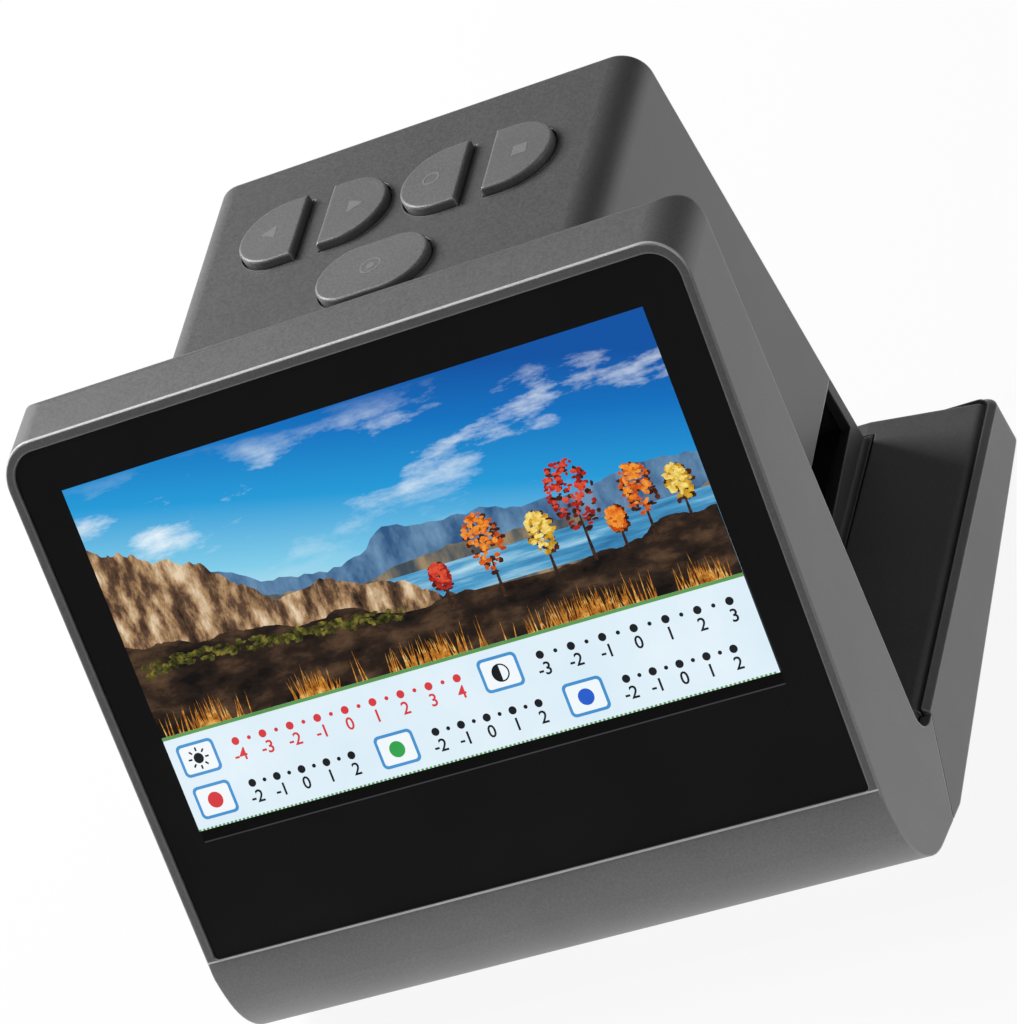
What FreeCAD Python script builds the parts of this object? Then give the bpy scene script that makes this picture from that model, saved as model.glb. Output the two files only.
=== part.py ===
import FreeCAD, Part
import os
import re
import Sketcher

# Desktop film scanner with a leaning display in front, a column that holds
# the camera behind it, and a low base with wings left and right.
# Millimetres. X runs to the right, Y to the back, Z up. The origin is the
# middle of the footprint at table height.

# Driving sizes in millimetres and degrees; they fill the spreadsheet.
SIZES = {
    # overall form
    "half_depth": 60.85,
    "overall_height": 114.5,
    "foot_height": 0.8,
    "flare_angle": 1.54,
    "trim_margin": 12.0,
    "pick_tolerance": 0.02,
    # display face: foot of the leaning plane, its lean and its half width
    "face_reach": 59.6,
    "face_foot_height": 26.2,
    "face_half_width": 64.08,
    "face_lean_angle": 24.0,
    "back_lean_angle": 17.21,
    "slab_foot_depth": 26.31,
    "slab_top_radius": 7.0,
    "slab_back_radius": 3.0,
    "valley_radius": 4.4,
    "housing_wall": 2.0,
    "back_lip_drop": 7.4,
    "back_plate_foot": 12.0,
    # chin below the display and the mitre to the base
    "nose_height": 17.9,
    "nose_bulge": 1.25,
    "chin_lower_radius": 14.08,
    "under_angle": 15.1,
    "seam_top_inset": 29.8,
    "seam_foot_inset": 17.0,
    "floor_break_inset": 27.2,
    "seam_top_height": 14.75,
    "seam_gap": 0.45,
    # display window and what sits behind it
    "window_rim": 1.7,
    "window_foot": 0.6,
    "window_recess": 0.6,
    "window_thickness": 1.5,
    "window_gap": 0.1,
    "window_top_radius": 5.3,
    "window_foot_radius": 1.0,
    "rim_edge_radius": 0.5,
    "picture_drop": 41.46,
    "lcd_side_inset": 3.73,
    "lcd_head_inset": 6.26,
    "lcd_foot_inset": 14.6,
    "lcd_thickness": 2.8,
    "lcd_air_gap": 0.15,
    "lcd_fit_gap": 0.1,
    "lcd_opening_gap": 0.3,
    "frame_rim": 0.9,
    "frame_floor": 1.1,
    "ribbon_half_width": 12.0,
    "ribbon_thickness": 0.2,
    "ribbon_reach": 9.0,
    "ribbon_slot": 1.2,
    "ribbon_rise": 3.0,
    "ribbon_drop": 3.6,
    # boards and their screws
    "board_thickness": 1.6,
    "board_post_radius": 2.8,
    "board_post_height": 3.0,
    "main_board_foot": 26.0,
    "main_board_inset": 16.08,
    "main_board_drop": 34.5,
    "board_edge_inset": 4.0,
    "chip_side": 13.0,
    "chip_height": 1.1,
    "chip_pitch": 24.0,
    "screw_shank_radius": 1.0,
    "screw_head_radius": 2.0,
    "screw_head_height": 1.2,
    "screw_slot_width": 0.5,
    "screw_slot_depth": 0.5,
    "screw_hole_gap": 0.2,
    "thread_gap": 0.05,
    "board_screw_grip": 2.4,
    # base with the wing deck
    "base_wall": 2.6,
    "base_corner_radius": 3.8,
    "deck_side_angle": 8.0,
    "edge_back_height": 9.206,
    "deck_back_height": 13.69,
    "deck_thickness": 2.2,
    "deck_edge_radius": 2.0,
    "deck_seat_gap": 0.3,
    "strip_width": 1.35,
    "strip_rise": 1.6,
    "groove_width": 0.4,
    "cover_thickness": 2.0,
    "cover_gap": 0.15,
    "foot_radius": 5.0,
    "foot_sink": 0.7,
    "foot_gap": 0.1,
    "foot_edge_radius": 0.3,
    "foot_side_inset": 12.08,
    "foot_front_inset": 34.2,
    "foot_back_inset": 12.25,
    "boss_radius": 3.2,
    "boss_height": 6.0,
    "rib_thickness": 1.6,
    "boss_side_inset": 6.58,
    "boss_front_inset": 46.2,
    "boss_back_inset": 22.25,
    "cover_screw_length": 5.5,
    # column
    "wing_width": 20.58,
    "rear_wing_width": 8.65,
    "column_drop": 7.2,
    "column_wall": 2.0,
    "column_edge_radius": 5.5,
    "collar_width": 1.2,
    "collar_radius": 1.1,
    "collar_gap": 0.35,
    "column_front_lift": 6.0,
    "hatch_foot": 32.0,
    "hatch_side_inset": 6.5,
    "hatch_head_drop": 9.3,
    "hatch_radius": 5.0,
    "io_hatch_height": 9.2,
    "io_hatch_inset": 7.5,
    # film slot and the gate plates above and below it
    "slot_floor": 19.95,
    "slot_ceiling": 29.7,
    "slot_front_gap": 20.69,
    "slot_back_inset": 2.8,
    "gate_step": 0.2,
    "gate_thickness": 2.4,
    "gate_gap": 0.15,
    "gate_lip": 1.8,
    "aperture_half_width": 19.0,
    "aperture_half_depth": 14.0,
    "aperture_radius": 1.5,
    "diffuser_border": 3.5,
    "diffuser_thickness": 1.2,
    "diffuser_gap": 0.1,
    "light_box_wall": 1.5,
    "light_box_border": 9.0,
    "light_box_gap": 0.7,
    "led_length": 3.5,
    "led_width": 2.8,
    "led_height": 0.8,
    "led_pitch": 11.0,
    "led_board_border": 1.5,
    "spring_half_width": 3.0,
    "spring_half_length": 11.0,
    "spring_thickness": 0.3,
    "spring_bump": 0.5,
    "spring_bump_half_width": 4.0,
    "spring_gap": 0.2,
    "spring_set_back": 6.8,
    # camera inside the column
    "holder_radius": 13.5,
    "holder_height": 20.0,
    "holder_flange_radius": 17.0,
    "holder_flange_height": 2.5,
    "barrel_radius": 10.0,
    "barrel_gap": 0.05,
    "barrel_height": 22.0,
    "barrel_drop": 4.0,
    "barrel_wall": 2.5,
    "barrel_shoulder": 1.2,
    "glass_thickness": 3.2,
    "glass_lift": 9.0,
    "glass_edge_radius": 1.0,
    "sensor_level": 68.0,
    "sensor_half_width": 6.5,
    "sensor_half_depth": 5.5,
    "sensor_height": 1.4,
    "sensor_radius": 0.4,
    "sensor_board_half_width": 26.0,
    "sensor_board_half_depth": 21.0,
    "bracket_post_radius": 3.4,
    "bracket_plate": 2.0,
    "bracket_window": 11.0,
    # keys on top of the column
    "key_lift": 1.65,
    "key_gap": 0.35,
    "key_edge_radius": 0.5,
    "key_flange_width": 1.1,
    "key_flange_thickness": 1.0,
    "key_flange_gap": 0.15,
    "key_travel": 0.5,
    "key_rest_gap": 0.05,
    "round_key_straight": 3.65,
    "key_side_margin": 12.4,
    "key_pair_gap": 5.2,
    "key_middle_gap": 3.0,
    "key_row_pitch": 21.0,
    "long_key_set_back": 16.77,
    "long_key_half_length": 10.9,
    "long_key_half_width": 7.2,
    "switch_side": 6.0,
    "switch_height": 2.5,
    "plunger_radius": 1.6,
    "plunger_height": 0.8,
    "key_board_inset": 6.0,
    "key_board_border": 3.8,
    "key_board_back_gap": 8.6,
    "key_post_side_inset": 2.5,
    "key_post_front_inset": 6.0,
    "key_post_back_inset": 4.0,
    # sockets on the back of the base
    "socket_gap": 0.15,
    "io_board_inset": 9.5,
    "io_board_depth": 20.25,
    "socket_wall": 0.35,
    "socket_sink": 0.4,
    "socket_end": 1.0,
    "tongue_share": 0.3,
    "tongue_thickness": 0.7,
    "tongue_recess": 0.8,
    "usb_middle": -24.0,
    "usb_width": 8.9,
    "usb_height": 3.2,
    "usb_depth": 7.3,
    "usb_radius": 1.2,
    "hdmi_middle": -6.0,
    "hdmi_width": 11.2,
    "hdmi_height": 3.2,
    "hdmi_depth": 7.5,
    "hdmi_radius": 0.6,
    "card_middle": 17.0,
    "card_width": 26.0,
    "card_height": 2.9,
    "card_depth": 15.0,
    "card_radius": 0.5,
}

# Sizes that follow from others. The sheet works them out in its own cells.
FOLLOWING = {
    "column_half_width": "face_half_width - wing_width",
    "column_back": "half_depth - rear_wing_width",
    "column_height": "overall_height - column_drop",
    "seam_top_reach": "face_reach - seam_top_inset",
    "seam_foot_reach": "face_reach - seam_foot_inset",
    "floor_break_reach": "face_reach - floor_break_inset",
    "deck_fall_angle": "atan((seam_top_height - edge_back_height) / (half_depth + seam_top_reach)) / 1deg",
    "picture_middle": "(overall_height - face_foot_height) / cos(face_lean_angle) - picture_drop",
    "lcd_half_width": "face_half_width - lcd_side_inset",
    "lcd_above": "picture_drop - lcd_head_inset",
    "lcd_below": "picture_middle - lcd_foot_inset",
    "main_board_half_width": "face_half_width - main_board_inset",
    "main_board_height": "overall_height - main_board_drop - main_board_foot",
    "foot_side_reach": "face_half_width - foot_side_inset",
    "foot_front_reach": "face_reach - foot_front_inset",
    "foot_back_reach": "half_depth - foot_back_inset",
    "boss_side_reach": "face_half_width - boss_side_inset",
    "boss_front_reach": "face_reach - boss_front_inset",
    "boss_back_reach": "half_depth - boss_back_inset",
    "hatch_half_width": "column_half_width - hatch_side_inset",
    "hatch_head": "column_height - hatch_head_drop",
    "io_hatch_half_width": "column_half_width - io_hatch_inset",
    "io_board_half_width": "column_half_width - io_board_inset",
    "io_board_front": "half_depth - io_board_depth",
    "slot_front": "slab_foot_depth - face_reach + slot_front_gap",
    "slot_back": "column_back - slot_back_inset",
    "gate_front": "slot_front - gate_lip",
    "film_middle": "(slot_front + slot_back) / 2",
    "light_box_half_width": "aperture_half_width + light_box_border",
    "light_box_half_depth": "io_board_front - light_box_gap - led_board_border - film_middle",
    "spring_middle": "slot_back - spring_set_back",
    "round_key_width": "(column_half_width - key_side_margin - key_pair_gap - key_middle_gap / 2) / 2",
    "round_key_radius": "round_key_width - round_key_straight",
    "outer_key_reach": "column_half_width - key_side_margin - round_key_width",
    "inner_key_reach": "outer_key_reach - key_pair_gap",
    "slab_back_rise": "column_height - face_foot_height",
    "slab_back_by_keys": "slab_foot_depth - face_reach + slab_back_rise * tan(back_lean_angle)",
    "long_key_middle": "slab_back_by_keys + long_key_set_back",
    "round_key_middle": "long_key_middle + key_row_pitch",
    "key_board_half_width": "column_half_width - key_board_inset",
    "key_board_front": "long_key_middle - long_key_half_width - key_board_border",
    "key_board_back": "column_back - key_board_back_gap",
    "key_post_reach": "key_board_half_width - key_post_side_inset",
    "key_post_front": "key_board_front + key_post_front_inset",
    "key_post_back": "key_board_back - key_post_back_inset",
}

doc = FreeCAD.newDocument("film_scanner")
sheet = doc.addObject("Spreadsheet::Sheet", "Sizes")
CELLS = {**SIZES, **{name: f"={formula}" for name, formula in FOLLOWING.items()}}
for row, (name, content) in enumerate(CELLS.items(), start=1):
    sheet.set(f"A{row}", name.replace("_", " "))
    sheet.set(f"B{row}", str(content))
    sheet.setAlias(f"B{row}", name)
doc.recompute()

SUBPARTS = []


# Expressions, sketches and features.


def bound(text):
    """Put the sheet's name before every size name of an expression."""
    return re.sub(r"[a-z]\w*", lambda word: "Sizes." + word[0] if word[0] in CELLS else word[0], text)


def value(text):
    """Number that an expression gives with the sizes as they are."""
    return float(sheet.evalExpression(bound(text)))


def bind(item, path, text):
    """Bind one property of a document object to an expression."""
    item.setExpression(path, bound(text))


def new_body(label, keep=True):
    """Make a body; the kept ones are the sub-parts."""
    body = doc.addObject("PartDesign::Body", label)
    body.Label = label
    body.AllowCompound = True
    if keep:
        SUBPARTS.append(body)
    return body


def origin_plane(body, role):
    """Origin plane of a body by its role."""
    return next(item for item in body.Origin.OriginFeatures if item.Role == role)


def hold_point(sketch, curve, spot, x_text, y_text):
    """Fix one point of a curve at two expressions."""
    for kind, text in (("DistanceX", x_text), ("DistanceY", y_text)):
        number = sketch.addConstraint(Sketcher.Constraint(kind, -1, 1, curve, spot, value(text)))
        bind(sketch, f"Constraints[{number}]", text)


def hold_middle(sketch, curve, axis, text):
    """Fix one coordinate of an arc's middle."""
    kind = "Distance" + axis.upper()
    number = sketch.addConstraint(Sketcher.Constraint(kind, -1, 1, curve, 3, value(text)))
    bind(sketch, f"Constraints[{number}]", text)


def draw_circle(sketch, x_text, y_text, radius_text):
    """Draw a bound circle."""
    middle = FreeCAD.Vector(value(x_text), value(y_text), 0)
    circle = Part.Circle(middle, FreeCAD.Vector(0, 0, 1), value(radius_text))
    curve = sketch.addGeometry(circle, False)
    hold_point(sketch, curve, 3, x_text, y_text)
    number = sketch.addConstraint(Sketcher.Constraint("Radius", curve, value(radius_text)))
    bind(sketch, f"Constraints[{number}]", radius_text)


def arc_between(start, end, turn, axis, along):
    """Arc from start to end whose middle has the given coordinate on one axis."""
    chord = end - start
    reach = (end.dot(end) - start.dot(start)) / 2
    if axis == "x":
        middle = FreeCAD.Vector(along, (reach - chord.x * along) / chord.y, 0)
    else:
        middle = FreeCAD.Vector((reach - chord.y * along) / chord.x, along, 0)
    circle = Part.Circle(middle, FreeCAD.Vector(0, 0, 1), (start - middle).Length)
    first, last = (start, end) if turn == "left" else (end, start)
    return Part.ArcOfCircle(circle, circle.parameter(first), circle.parameter(last))


def draw_loop(sketch, loop):
    """Draw a closed outline. Each corner is (x, y), or (x, y, turn, axis,
    middle) where an arc leads on to the next corner."""
    corners = [FreeCAD.Vector(value(corner[0]), value(corner[1]), 0) for corner in loop]
    curves = []
    for place, corner in enumerate(loop):
        start = corners[place]
        end = corners[(place + 1) % len(loop)]
        if len(corner) > 2:
            turn, axis, middle = corner[2:]
            curve = sketch.addGeometry(arc_between(start, end, turn, axis, value(middle)), False)
            ends = (1, 2) if turn == "left" else (2, 1)
        else:
            curve = sketch.addGeometry(Part.LineSegment(start, end), False)
            ends = (1, 2)
        curves.append((curve, ends))
    for place, (curve, ends) in enumerate(curves):
        following, following_ends = curves[(place + 1) % len(curves)]
        sketch.addConstraint(Sketcher.Constraint("Coincident", curve, ends[1], following, following_ends[0]))
        hold_point(sketch, curve, ends[0], loop[place][0], loop[place][1])
        if len(loop[place]) > 2:
            hold_middle(sketch, curve, loop[place][3], loop[place][4])


def draw(sketch, loops):
    """Draw every outline or circle of a list."""
    for loop in loops:
        if loop[0] == "circle":
            draw_circle(sketch, *loop[1:])
        else:
            draw_loop(sketch, loop)


def box_loop(left, front, right, back):
    """Plain rectangle."""
    return [(left, front), (right, front), (right, back), (left, back)]


def rounded_loop(left, front, right, back, radius):
    """Rectangle with round corners."""
    radius = f"({radius})"
    return [
        (f"{left} + {radius}", front),
        (f"{right} - {radius}", front, "left", "x", f"{right} - {radius}"),
        (right, f"{front} + {radius}"),
        (right, f"{back} - {radius}", "left", "x", f"{right} - {radius}"),
        (f"{right} - {radius}", back),
        (f"{left} + {radius}", back, "left", "x", f"{left} + {radius}"),
        (left, f"{back} - {radius}"),
        (left, f"{front} + {radius}", "left", "x", f"{left} + {radius}"),
    ]


def new_sketch(body, axis, near):
    """Sketch across one axis of a body at the given coordinate. The axis
    "face" points out of the display face, "fall" follows the deck from the
    back of the base, and "flare" follows the right side wall to the back."""
    roles = {
        "x": "YZ_Plane",
        "y": "XZ_Plane",
        "z": "XY_Plane",
        "face": "XY_Plane",
        "fall": "XZ_Plane",
        "flare": "XZ_Plane",
    }
    sketch = body.newObject("Sketcher::SketchObject", body.Name + "_outline")
    sketch.AttachmentSupport = [(origin_plane(body, roles[axis]), "")]
    sketch.MapMode = "FlatFace"
    if axis in ("x", "z"):
        bind(sketch, "AttachmentOffset.Base.z", near)
    elif axis == "y":
        bind(sketch, "AttachmentOffset.Base.z", f"0 - ({near})")
    elif axis == "face":
        turn = FreeCAD.Rotation(FreeCAD.Vector(1, 0, 0), 90)
        sketch.AttachmentOffset = FreeCAD.Placement(FreeCAD.Vector(), turn)
        bind(sketch, "AttachmentOffset.Base.y", f"0 - face_reach - ({near}) * cos(face_lean_angle)")
        bind(sketch, "AttachmentOffset.Base.z", f"face_foot_height + ({near}) * sin(face_lean_angle)")
        bind(sketch, "AttachmentOffset.Rotation.Angle", "90 - face_lean_angle")
    elif axis == "flare":
        turn = FreeCAD.Rotation(FreeCAD.Vector(0, -1, 0), 1)
        sketch.AttachmentOffset = FreeCAD.Placement(FreeCAD.Vector(), turn)
        bind(sketch, "AttachmentOffset.Base.x", side_at(near, "0"))
        bind(sketch, "AttachmentOffset.Base.z", f"0 - ({near})")
        bind(sketch, "AttachmentOffset.Rotation.Angle", "flare_angle")
    else:
        turn = FreeCAD.Rotation(FreeCAD.Vector(-1, 0, 0), 1)
        sketch.AttachmentOffset = FreeCAD.Placement(FreeCAD.Vector(), turn)
        bind(sketch, "AttachmentOffset.Base.y", "deck_back_height")
        bind(sketch, "AttachmentOffset.Base.z", "0 - half_depth")
        bind(sketch, "AttachmentOffset.Rotation.Angle", "deck_fall_angle")
    return sketch


def extrude(body, axis, near, far, loops, cut=False):
    """Pad or pocket outlines along an axis from one coordinate to another."""
    sketch = new_sketch(body, axis, near)
    draw(sketch, loops)
    kind = "PartDesign::Pocket" if cut else "PartDesign::Pad"
    feature = body.newObject(kind, body.Name + ("_pocket" if cut else "_pad"))
    feature.Profile = sketch
    bind(feature, "Length", f"({far}) - ({near})")
    feature.Reversed = (axis in ("y", "flare")) != cut
    sketch.Visibility = False
    doc.recompute()
    return feature


def carve(body, axis, near, far, loops):
    """Pocket outlines along an axis from one coordinate to another."""
    return extrude(body, axis, near, far, loops, cut=True)


def mirror_sides(body):
    """Repeat the tip of a body on the other side."""
    original = body.Tip
    feature = body.newObject("PartDesign::Mirrored", body.Name + "_mirrored")
    feature.Originals = [original]
    feature.MirrorPlane = (origin_plane(body, "YZ_Plane"), [""])
    body.Tip = feature
    doc.recompute()
    return feature


def subtract(body, tool):
    """Cut another body out of this one."""
    feature = body.newObject("PartDesign::Boolean", body.Name + "_hollow")
    feature.Type = "Cut"
    feature.setObjects([tool])
    doc.recompute()
    return feature


def edge_points(edge):
    """Both ends and the middle of an edge."""
    middle = edge.valueAt((edge.FirstParameter + edge.LastParameter) / 2)
    return [vertex.Point for vertex in edge.Vertexes] + [middle]


def lies_at(edge, **places):
    """Whether an edge lies at the given coordinates."""
    for axis, text in places.items():
        target = value(text)
        if any(abs(getattr(point, axis) - target) > SIZES["pick_tolerance"] for point in edge_points(edge)):
            return False
    return True


def runs_along(edge, axis):
    """Whether a straight edge runs mainly along an axis."""
    start, end = edge.Vertexes[0].Point, edge.Vertexes[-1].Point
    reach = end - start
    return abs(getattr(reach, axis)) > reach.Length / 2


def round_edges(body, radius, picked):
    """Fillet the edges of a body's tip that a test picks."""
    base = body.Tip
    names = [f"Edge{place}" for place, edge in enumerate(base.Shape.Edges, start=1) if picked(edge)]
    feature = body.newObject("PartDesign::Fillet", body.Name + "_fillet")
    feature.Base = (base, names)
    bind(feature, "Radius", radius)
    doc.recompute()
    return feature


def chamfer_edges(body, size, second_size, picked, flip):
    """Chamfer picked edges with one size on each face."""
    base = body.Tip
    names = [f"Edge{place}" for place, edge in enumerate(base.Shape.Edges, start=1) if picked(edge)]
    feature = body.newObject("PartDesign::Chamfer", body.Name + "_chamfer")
    feature.Base = (base, names)
    feature.ChamferType = "Two distances"
    bind(feature, "Size", size)
    bind(feature, "Size2", second_size)
    feature.FlipDirection = flip
    doc.recompute()
    return feature


def place_on_face(body):
    """Stand a body in the display frame: its Z points out of the face."""
    body.Placement = FreeCAD.Placement(FreeCAD.Vector(), FreeCAD.Rotation(FreeCAD.Vector(1, 0, 0), 90))
    bind(body, "Placement.Base.y", "0 - face_reach")
    bind(body, "Placement.Base.z", "face_foot_height")
    bind(body, "Placement.Rotation.Angle", "90 - face_lean_angle")


# Lines and outlines that several housings share.

beyond = "(half_depth + trim_margin)"
above = "(overall_height + trim_margin)"
below = "(0 - trim_margin)"
wide = "(face_half_width + column_half_width)"
inner_top = "(overall_height - housing_wall)"
lip_height = "(overall_height - back_lip_drop)"
cover_top = "(foot_height + cover_thickness)"
face_length = "((overall_height - face_foot_height) / cos(face_lean_angle))"
nose_front = "(0 - face_reach - nose_bulge)"
touch_depth = f"({nose_front} + chin_lower_radius * (1 - sin(under_angle)))"
touch_height = "(nose_height - chin_lower_radius * cos(under_angle))"


def side_at(depth, inset):
    """Half width of the flared side walls at a depth."""
    return f"(face_half_width - ({inset}) + (({depth}) + face_reach) * tan(flare_angle))"


def column_at(depth, inset):
    """Half width of the column at a depth."""
    return f"(column_half_width - ({inset}) - (column_back - ({depth})) * tan(flare_angle))"


def face_line(height, inset):
    """Depth of the display face at a height."""
    return (
        f"(({inset}) / cos(face_lean_angle) - face_reach"
        f" + (({height}) - face_foot_height) * tan(face_lean_angle))"
    )


def back_line(height, inset):
    """Depth of the slab's back at a height."""
    return (
        f"(slab_foot_depth - face_reach - ({inset}) / cos(back_lean_angle)"
        f" + (({height}) - face_foot_height) * tan(back_lean_angle))"
    )


def under_line(depth, inset):
    """Height of the rising underside in front at a depth."""
    return f"({touch_height} + ({inset}) / cos(under_angle) - (({depth}) - {touch_depth}) * tan(under_angle))"


def edge_line(depth, rise):
    """Height of the base's side edge at a depth."""
    return f"(seam_top_height + ({rise}) - (({depth}) + seam_top_reach) * tan(deck_fall_angle))"


def deck_line(depth):
    """Height of the wing deck beside the column at a depth."""
    return f"(deck_back_height + (half_depth - ({depth})) * tan(deck_fall_angle))"


def plan_loop(half_width_at, inset, front, back, corner):
    """Flared plan outline with two round corners at the back."""
    turn = f"({back} - {corner})"
    front_half = half_width_at(front, inset)
    turn_half = half_width_at(turn, inset)
    return [
        (f"0 - {front_half}", front),
        (front_half, front),
        (turn_half, turn, "left", "x", f"{turn_half} - {corner}"),
        (f"{turn_half} - {corner}", back),
        (f"{corner} - {turn_half}", back, "left", "x", f"{corner} - {turn_half}"),
        (f"0 - {turn_half}", turn),
    ]


def plan_box(half_width_at, inset, front, back):
    """Flared plan outline with sharp corners."""
    front_half = half_width_at(front, inset)
    back_half = half_width_at(back, inset)
    return [(f"0 - {front_half}", front), (front_half, front), (back_half, back), (f"0 - {back_half}", back)]


def trim_sides(body, inset):
    """Cut a body to the flared plan of the whole scanner."""
    front = f"(0 - {beyond})"
    back = f"(half_depth - ({inset}))"
    outline = plan_loop(side_at, inset, front, back, f"(base_corner_radius - ({inset}))")
    frame = box_loop(f"0 - {wide}", f"{front} - trim_margin", wide, beyond)
    carve(body, "z", below, above, [frame, outline])


def side_form(label, loop, inset, keep=True):
    """Body from a side view, trimmed to the flared plan."""
    body = new_body(label, keep)
    reach = side_at("half_depth", "0")
    extrude(body, "x", f"0 - {reach}", reach, [loop])
    trim_sides(body, inset)
    return body


def clear_of_slab(body):
    """Cut away what would reach into the display slab."""
    zone = [
        (f"0 - {beyond}", below),
        (back_line(below, "0 - seam_gap"), below),
        (back_line(above, "0 - seam_gap"), above),
        (f"0 - {beyond}", above),
    ]
    carve(body, "x", f"0 - {wide}", wide, [zone])


# Display housing: slab and chin, moulded in one piece and open to the back.

valley_depth = back_line("seam_top_height", "0")
valley_reach = "(valley_radius / tan((90 - back_lean_angle) / 2))"
valley_start = f"({valley_depth} + {valley_reach})"
crest_depth = back_line("overall_height", "0")
crest_reach = "(slab_back_radius / tan((90 - back_lean_angle) / 2))"
crest_end = f"({crest_depth} - {crest_reach})"
display_side = [
    ("0 - face_reach", "face_foot_height", "left", "y", "nose_height"),
    (nose_front, "nose_height", "left", "y", "nose_height"),
    (touch_depth, touch_height),
    ("0 - seam_foot_reach", under_line("0 - seam_foot_reach", "0")),
    ("0 - seam_top_reach", "seam_top_height"),
    (valley_start, "seam_top_height", "right", "x", valley_start),
    (
        f"{valley_depth} + {valley_reach} * sin(back_lean_angle)",
        f"seam_top_height + {valley_reach} * cos(back_lean_angle)",
    ),
    (
        f"{crest_depth} - {crest_reach} * sin(back_lean_angle)",
        f"overall_height - {crest_reach} * cos(back_lean_angle)",
        "left",
        "x",
        crest_end,
    ),
    (crest_end, "overall_height"),
    (face_line("overall_height", "0"), "overall_height"),
]


def round_top_corners(body, inset, top, radius):
    """Round the top corners of a slab form along its flared sides."""
    side = f"(({inset}) * cos(flare_angle))"
    middle = f"0 - {side} - ({radius})"
    corner = [
        (middle, f"{top} + trim_margin"),
        (middle, top, "right", "x", middle),
        (f"0 - {side}", f"{top} - ({radius})"),
        ("trim_margin", f"{top} - ({radius})"),
        ("trim_margin", f"{top} + trim_margin"),
    ]
    carve(body, "flare", f"0 - {beyond}", beyond, [corner])
    mirror_sides(body)


display_housing = side_form("display_housing", display_side, "0")
round_top_corners(display_housing, "0", "overall_height", "slab_top_radius")

# The front wall seats the window. The hollow behind it is open to the back
# below a lip that folds over the slab's top.
front_wall = "(window_recess + window_thickness + housing_wall)"
inner_touch = f"({touch_depth} + housing_wall)"
hollow_side = [
    (face_line("face_foot_height", front_wall), "face_foot_height"),
    (f"{nose_front} + housing_wall", "nose_height"),
    (inner_touch, under_line(inner_touch, "housing_wall")),
    (beyond, under_line(beyond, "housing_wall")),
    (beyond, lip_height),
    (back_line(lip_height, "housing_wall"), lip_height),
    (back_line(inner_top, "housing_wall"), inner_top),
    (face_line(inner_top, front_wall), inner_top),
]
display_hollow = side_form("display_hollow", hollow_side, "housing_wall", keep=False)
round_top_corners(display_hollow, "housing_wall", inner_top, "slab_top_radius - housing_wall")
subtract(display_housing, display_hollow)


def window_half(up, gap):
    """Half width of the window at a distance up the face."""
    return f"(face_half_width - window_rim - ({gap}) + ({up}) * sin(face_lean_angle) * tan(flare_angle))"


def window_loop(gap):
    """Window outline on the face, with larger round corners at the top."""
    foot = f"(window_foot + ({gap}))"
    head = f"({face_length} - window_rim - ({gap}))"
    foot_turn = f"({foot} + window_foot_radius)"
    head_turn = f"({head} - window_top_radius)"
    foot_half = window_half(foot_turn, gap)
    head_half = window_half(head_turn, gap)
    return [
        (f"window_foot_radius - {foot_half}", foot),
        (f"{foot_half} - window_foot_radius", foot, "left", "x", f"{foot_half} - window_foot_radius"),
        (foot_half, foot_turn),
        (head_half, head_turn, "left", "x", f"{head_half} - window_top_radius"),
        (f"{head_half} - window_top_radius", head),
        (f"window_top_radius - {head_half}", head, "left", "x", f"window_top_radius - {head_half}"),
        (f"0 - {head_half}", head_turn),
        (f"0 - {foot_half}", foot_turn, "left", "x", f"window_foot_radius - {foot_half}"),
    ]


def lcd_loop(gap):
    """Outline of the display panel on the face, grown by a gap."""
    half = f"(lcd_half_width + ({gap}))"
    return box_loop(
        f"0 - {half}",
        f"(picture_middle - lcd_below - ({gap}))",
        half,
        f"(picture_middle + lcd_above + ({gap}))",
    )


window_back = "(0 - window_recess - window_thickness)"
carve(display_housing, "face", window_back, "trim_margin", [window_loop("0")])
carve(display_housing, "face", f"0 - {front_wall} - trim_margin", window_back, [lcd_loop("lcd_opening_gap")])


def on_rim(edge):
    """Whether an edge bounds the display face at a side, a top corner or the top."""
    for vertex in edge.Vertexes:
        point = vertex.Point
        if abs(point.y - value(face_line(str(point.z), "0"))) > SIZES["pick_tolerance"]:
            return False
        from_side = value(side_at(str(point.y), "0")) - abs(point.x)
        from_top = SIZES["overall_height"] - point.z
        if min(from_side, from_top) > SIZES["pick_tolerance"]:
            return False
    return not lies_at(edge, z="face_foot_height")


round_edges(display_housing, "rim_edge_radius", on_rim)

# Display back: plate in the slab's open back, with the hatch to the column.

back_head = f"({lip_height} - cover_gap)"
back_side = [
    (back_line("back_plate_foot", "0"), "back_plate_foot"),
    (back_line(back_head, "0"), back_head),
    (back_line(back_head, "housing_wall"), back_head),
    (back_line("back_plate_foot", "housing_wall"), "back_plate_foot"),
]
display_back = side_form("display_back", back_side, "housing_wall + cover_gap")
hatch = rounded_loop("(0 - hatch_half_width)", "hatch_foot", "hatch_half_width", "hatch_head", "hatch_radius")
carve(display_back, "y", f"0 - {beyond}", beyond, [hatch])

# Base housing: side walls, back wall and the sloping strip beside the deck.

base_front = "(seam_gap - seam_top_reach)"
base_foot_front = "(seam_gap - seam_foot_reach)"
base_side = [
    (base_foot_front, under_line(base_foot_front, "0")),
    (f"{touch_depth} + ({touch_height} - foot_height) / tan(under_angle)", "foot_height"),
    ("half_depth", "foot_height"),
    ("half_depth", edge_line("half_depth", "strip_rise")),
    (base_front, edge_line(base_front, "strip_rise")),
    (base_front, "seam_top_height"),
]
base_housing = side_form("base_housing", base_side, "0")


def on_strip_top(edge):
    """Whether an edge bounds the base's sloping top at a side or the back."""
    points = [vertex.Point for vertex in edge.Vertexes]
    for point in points:
        if abs(point.z - value(edge_line(str(point.y), "strip_rise"))) > SIZES["pick_tolerance"]:
            return False
    return not lies_at(edge, y=base_front)


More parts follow.
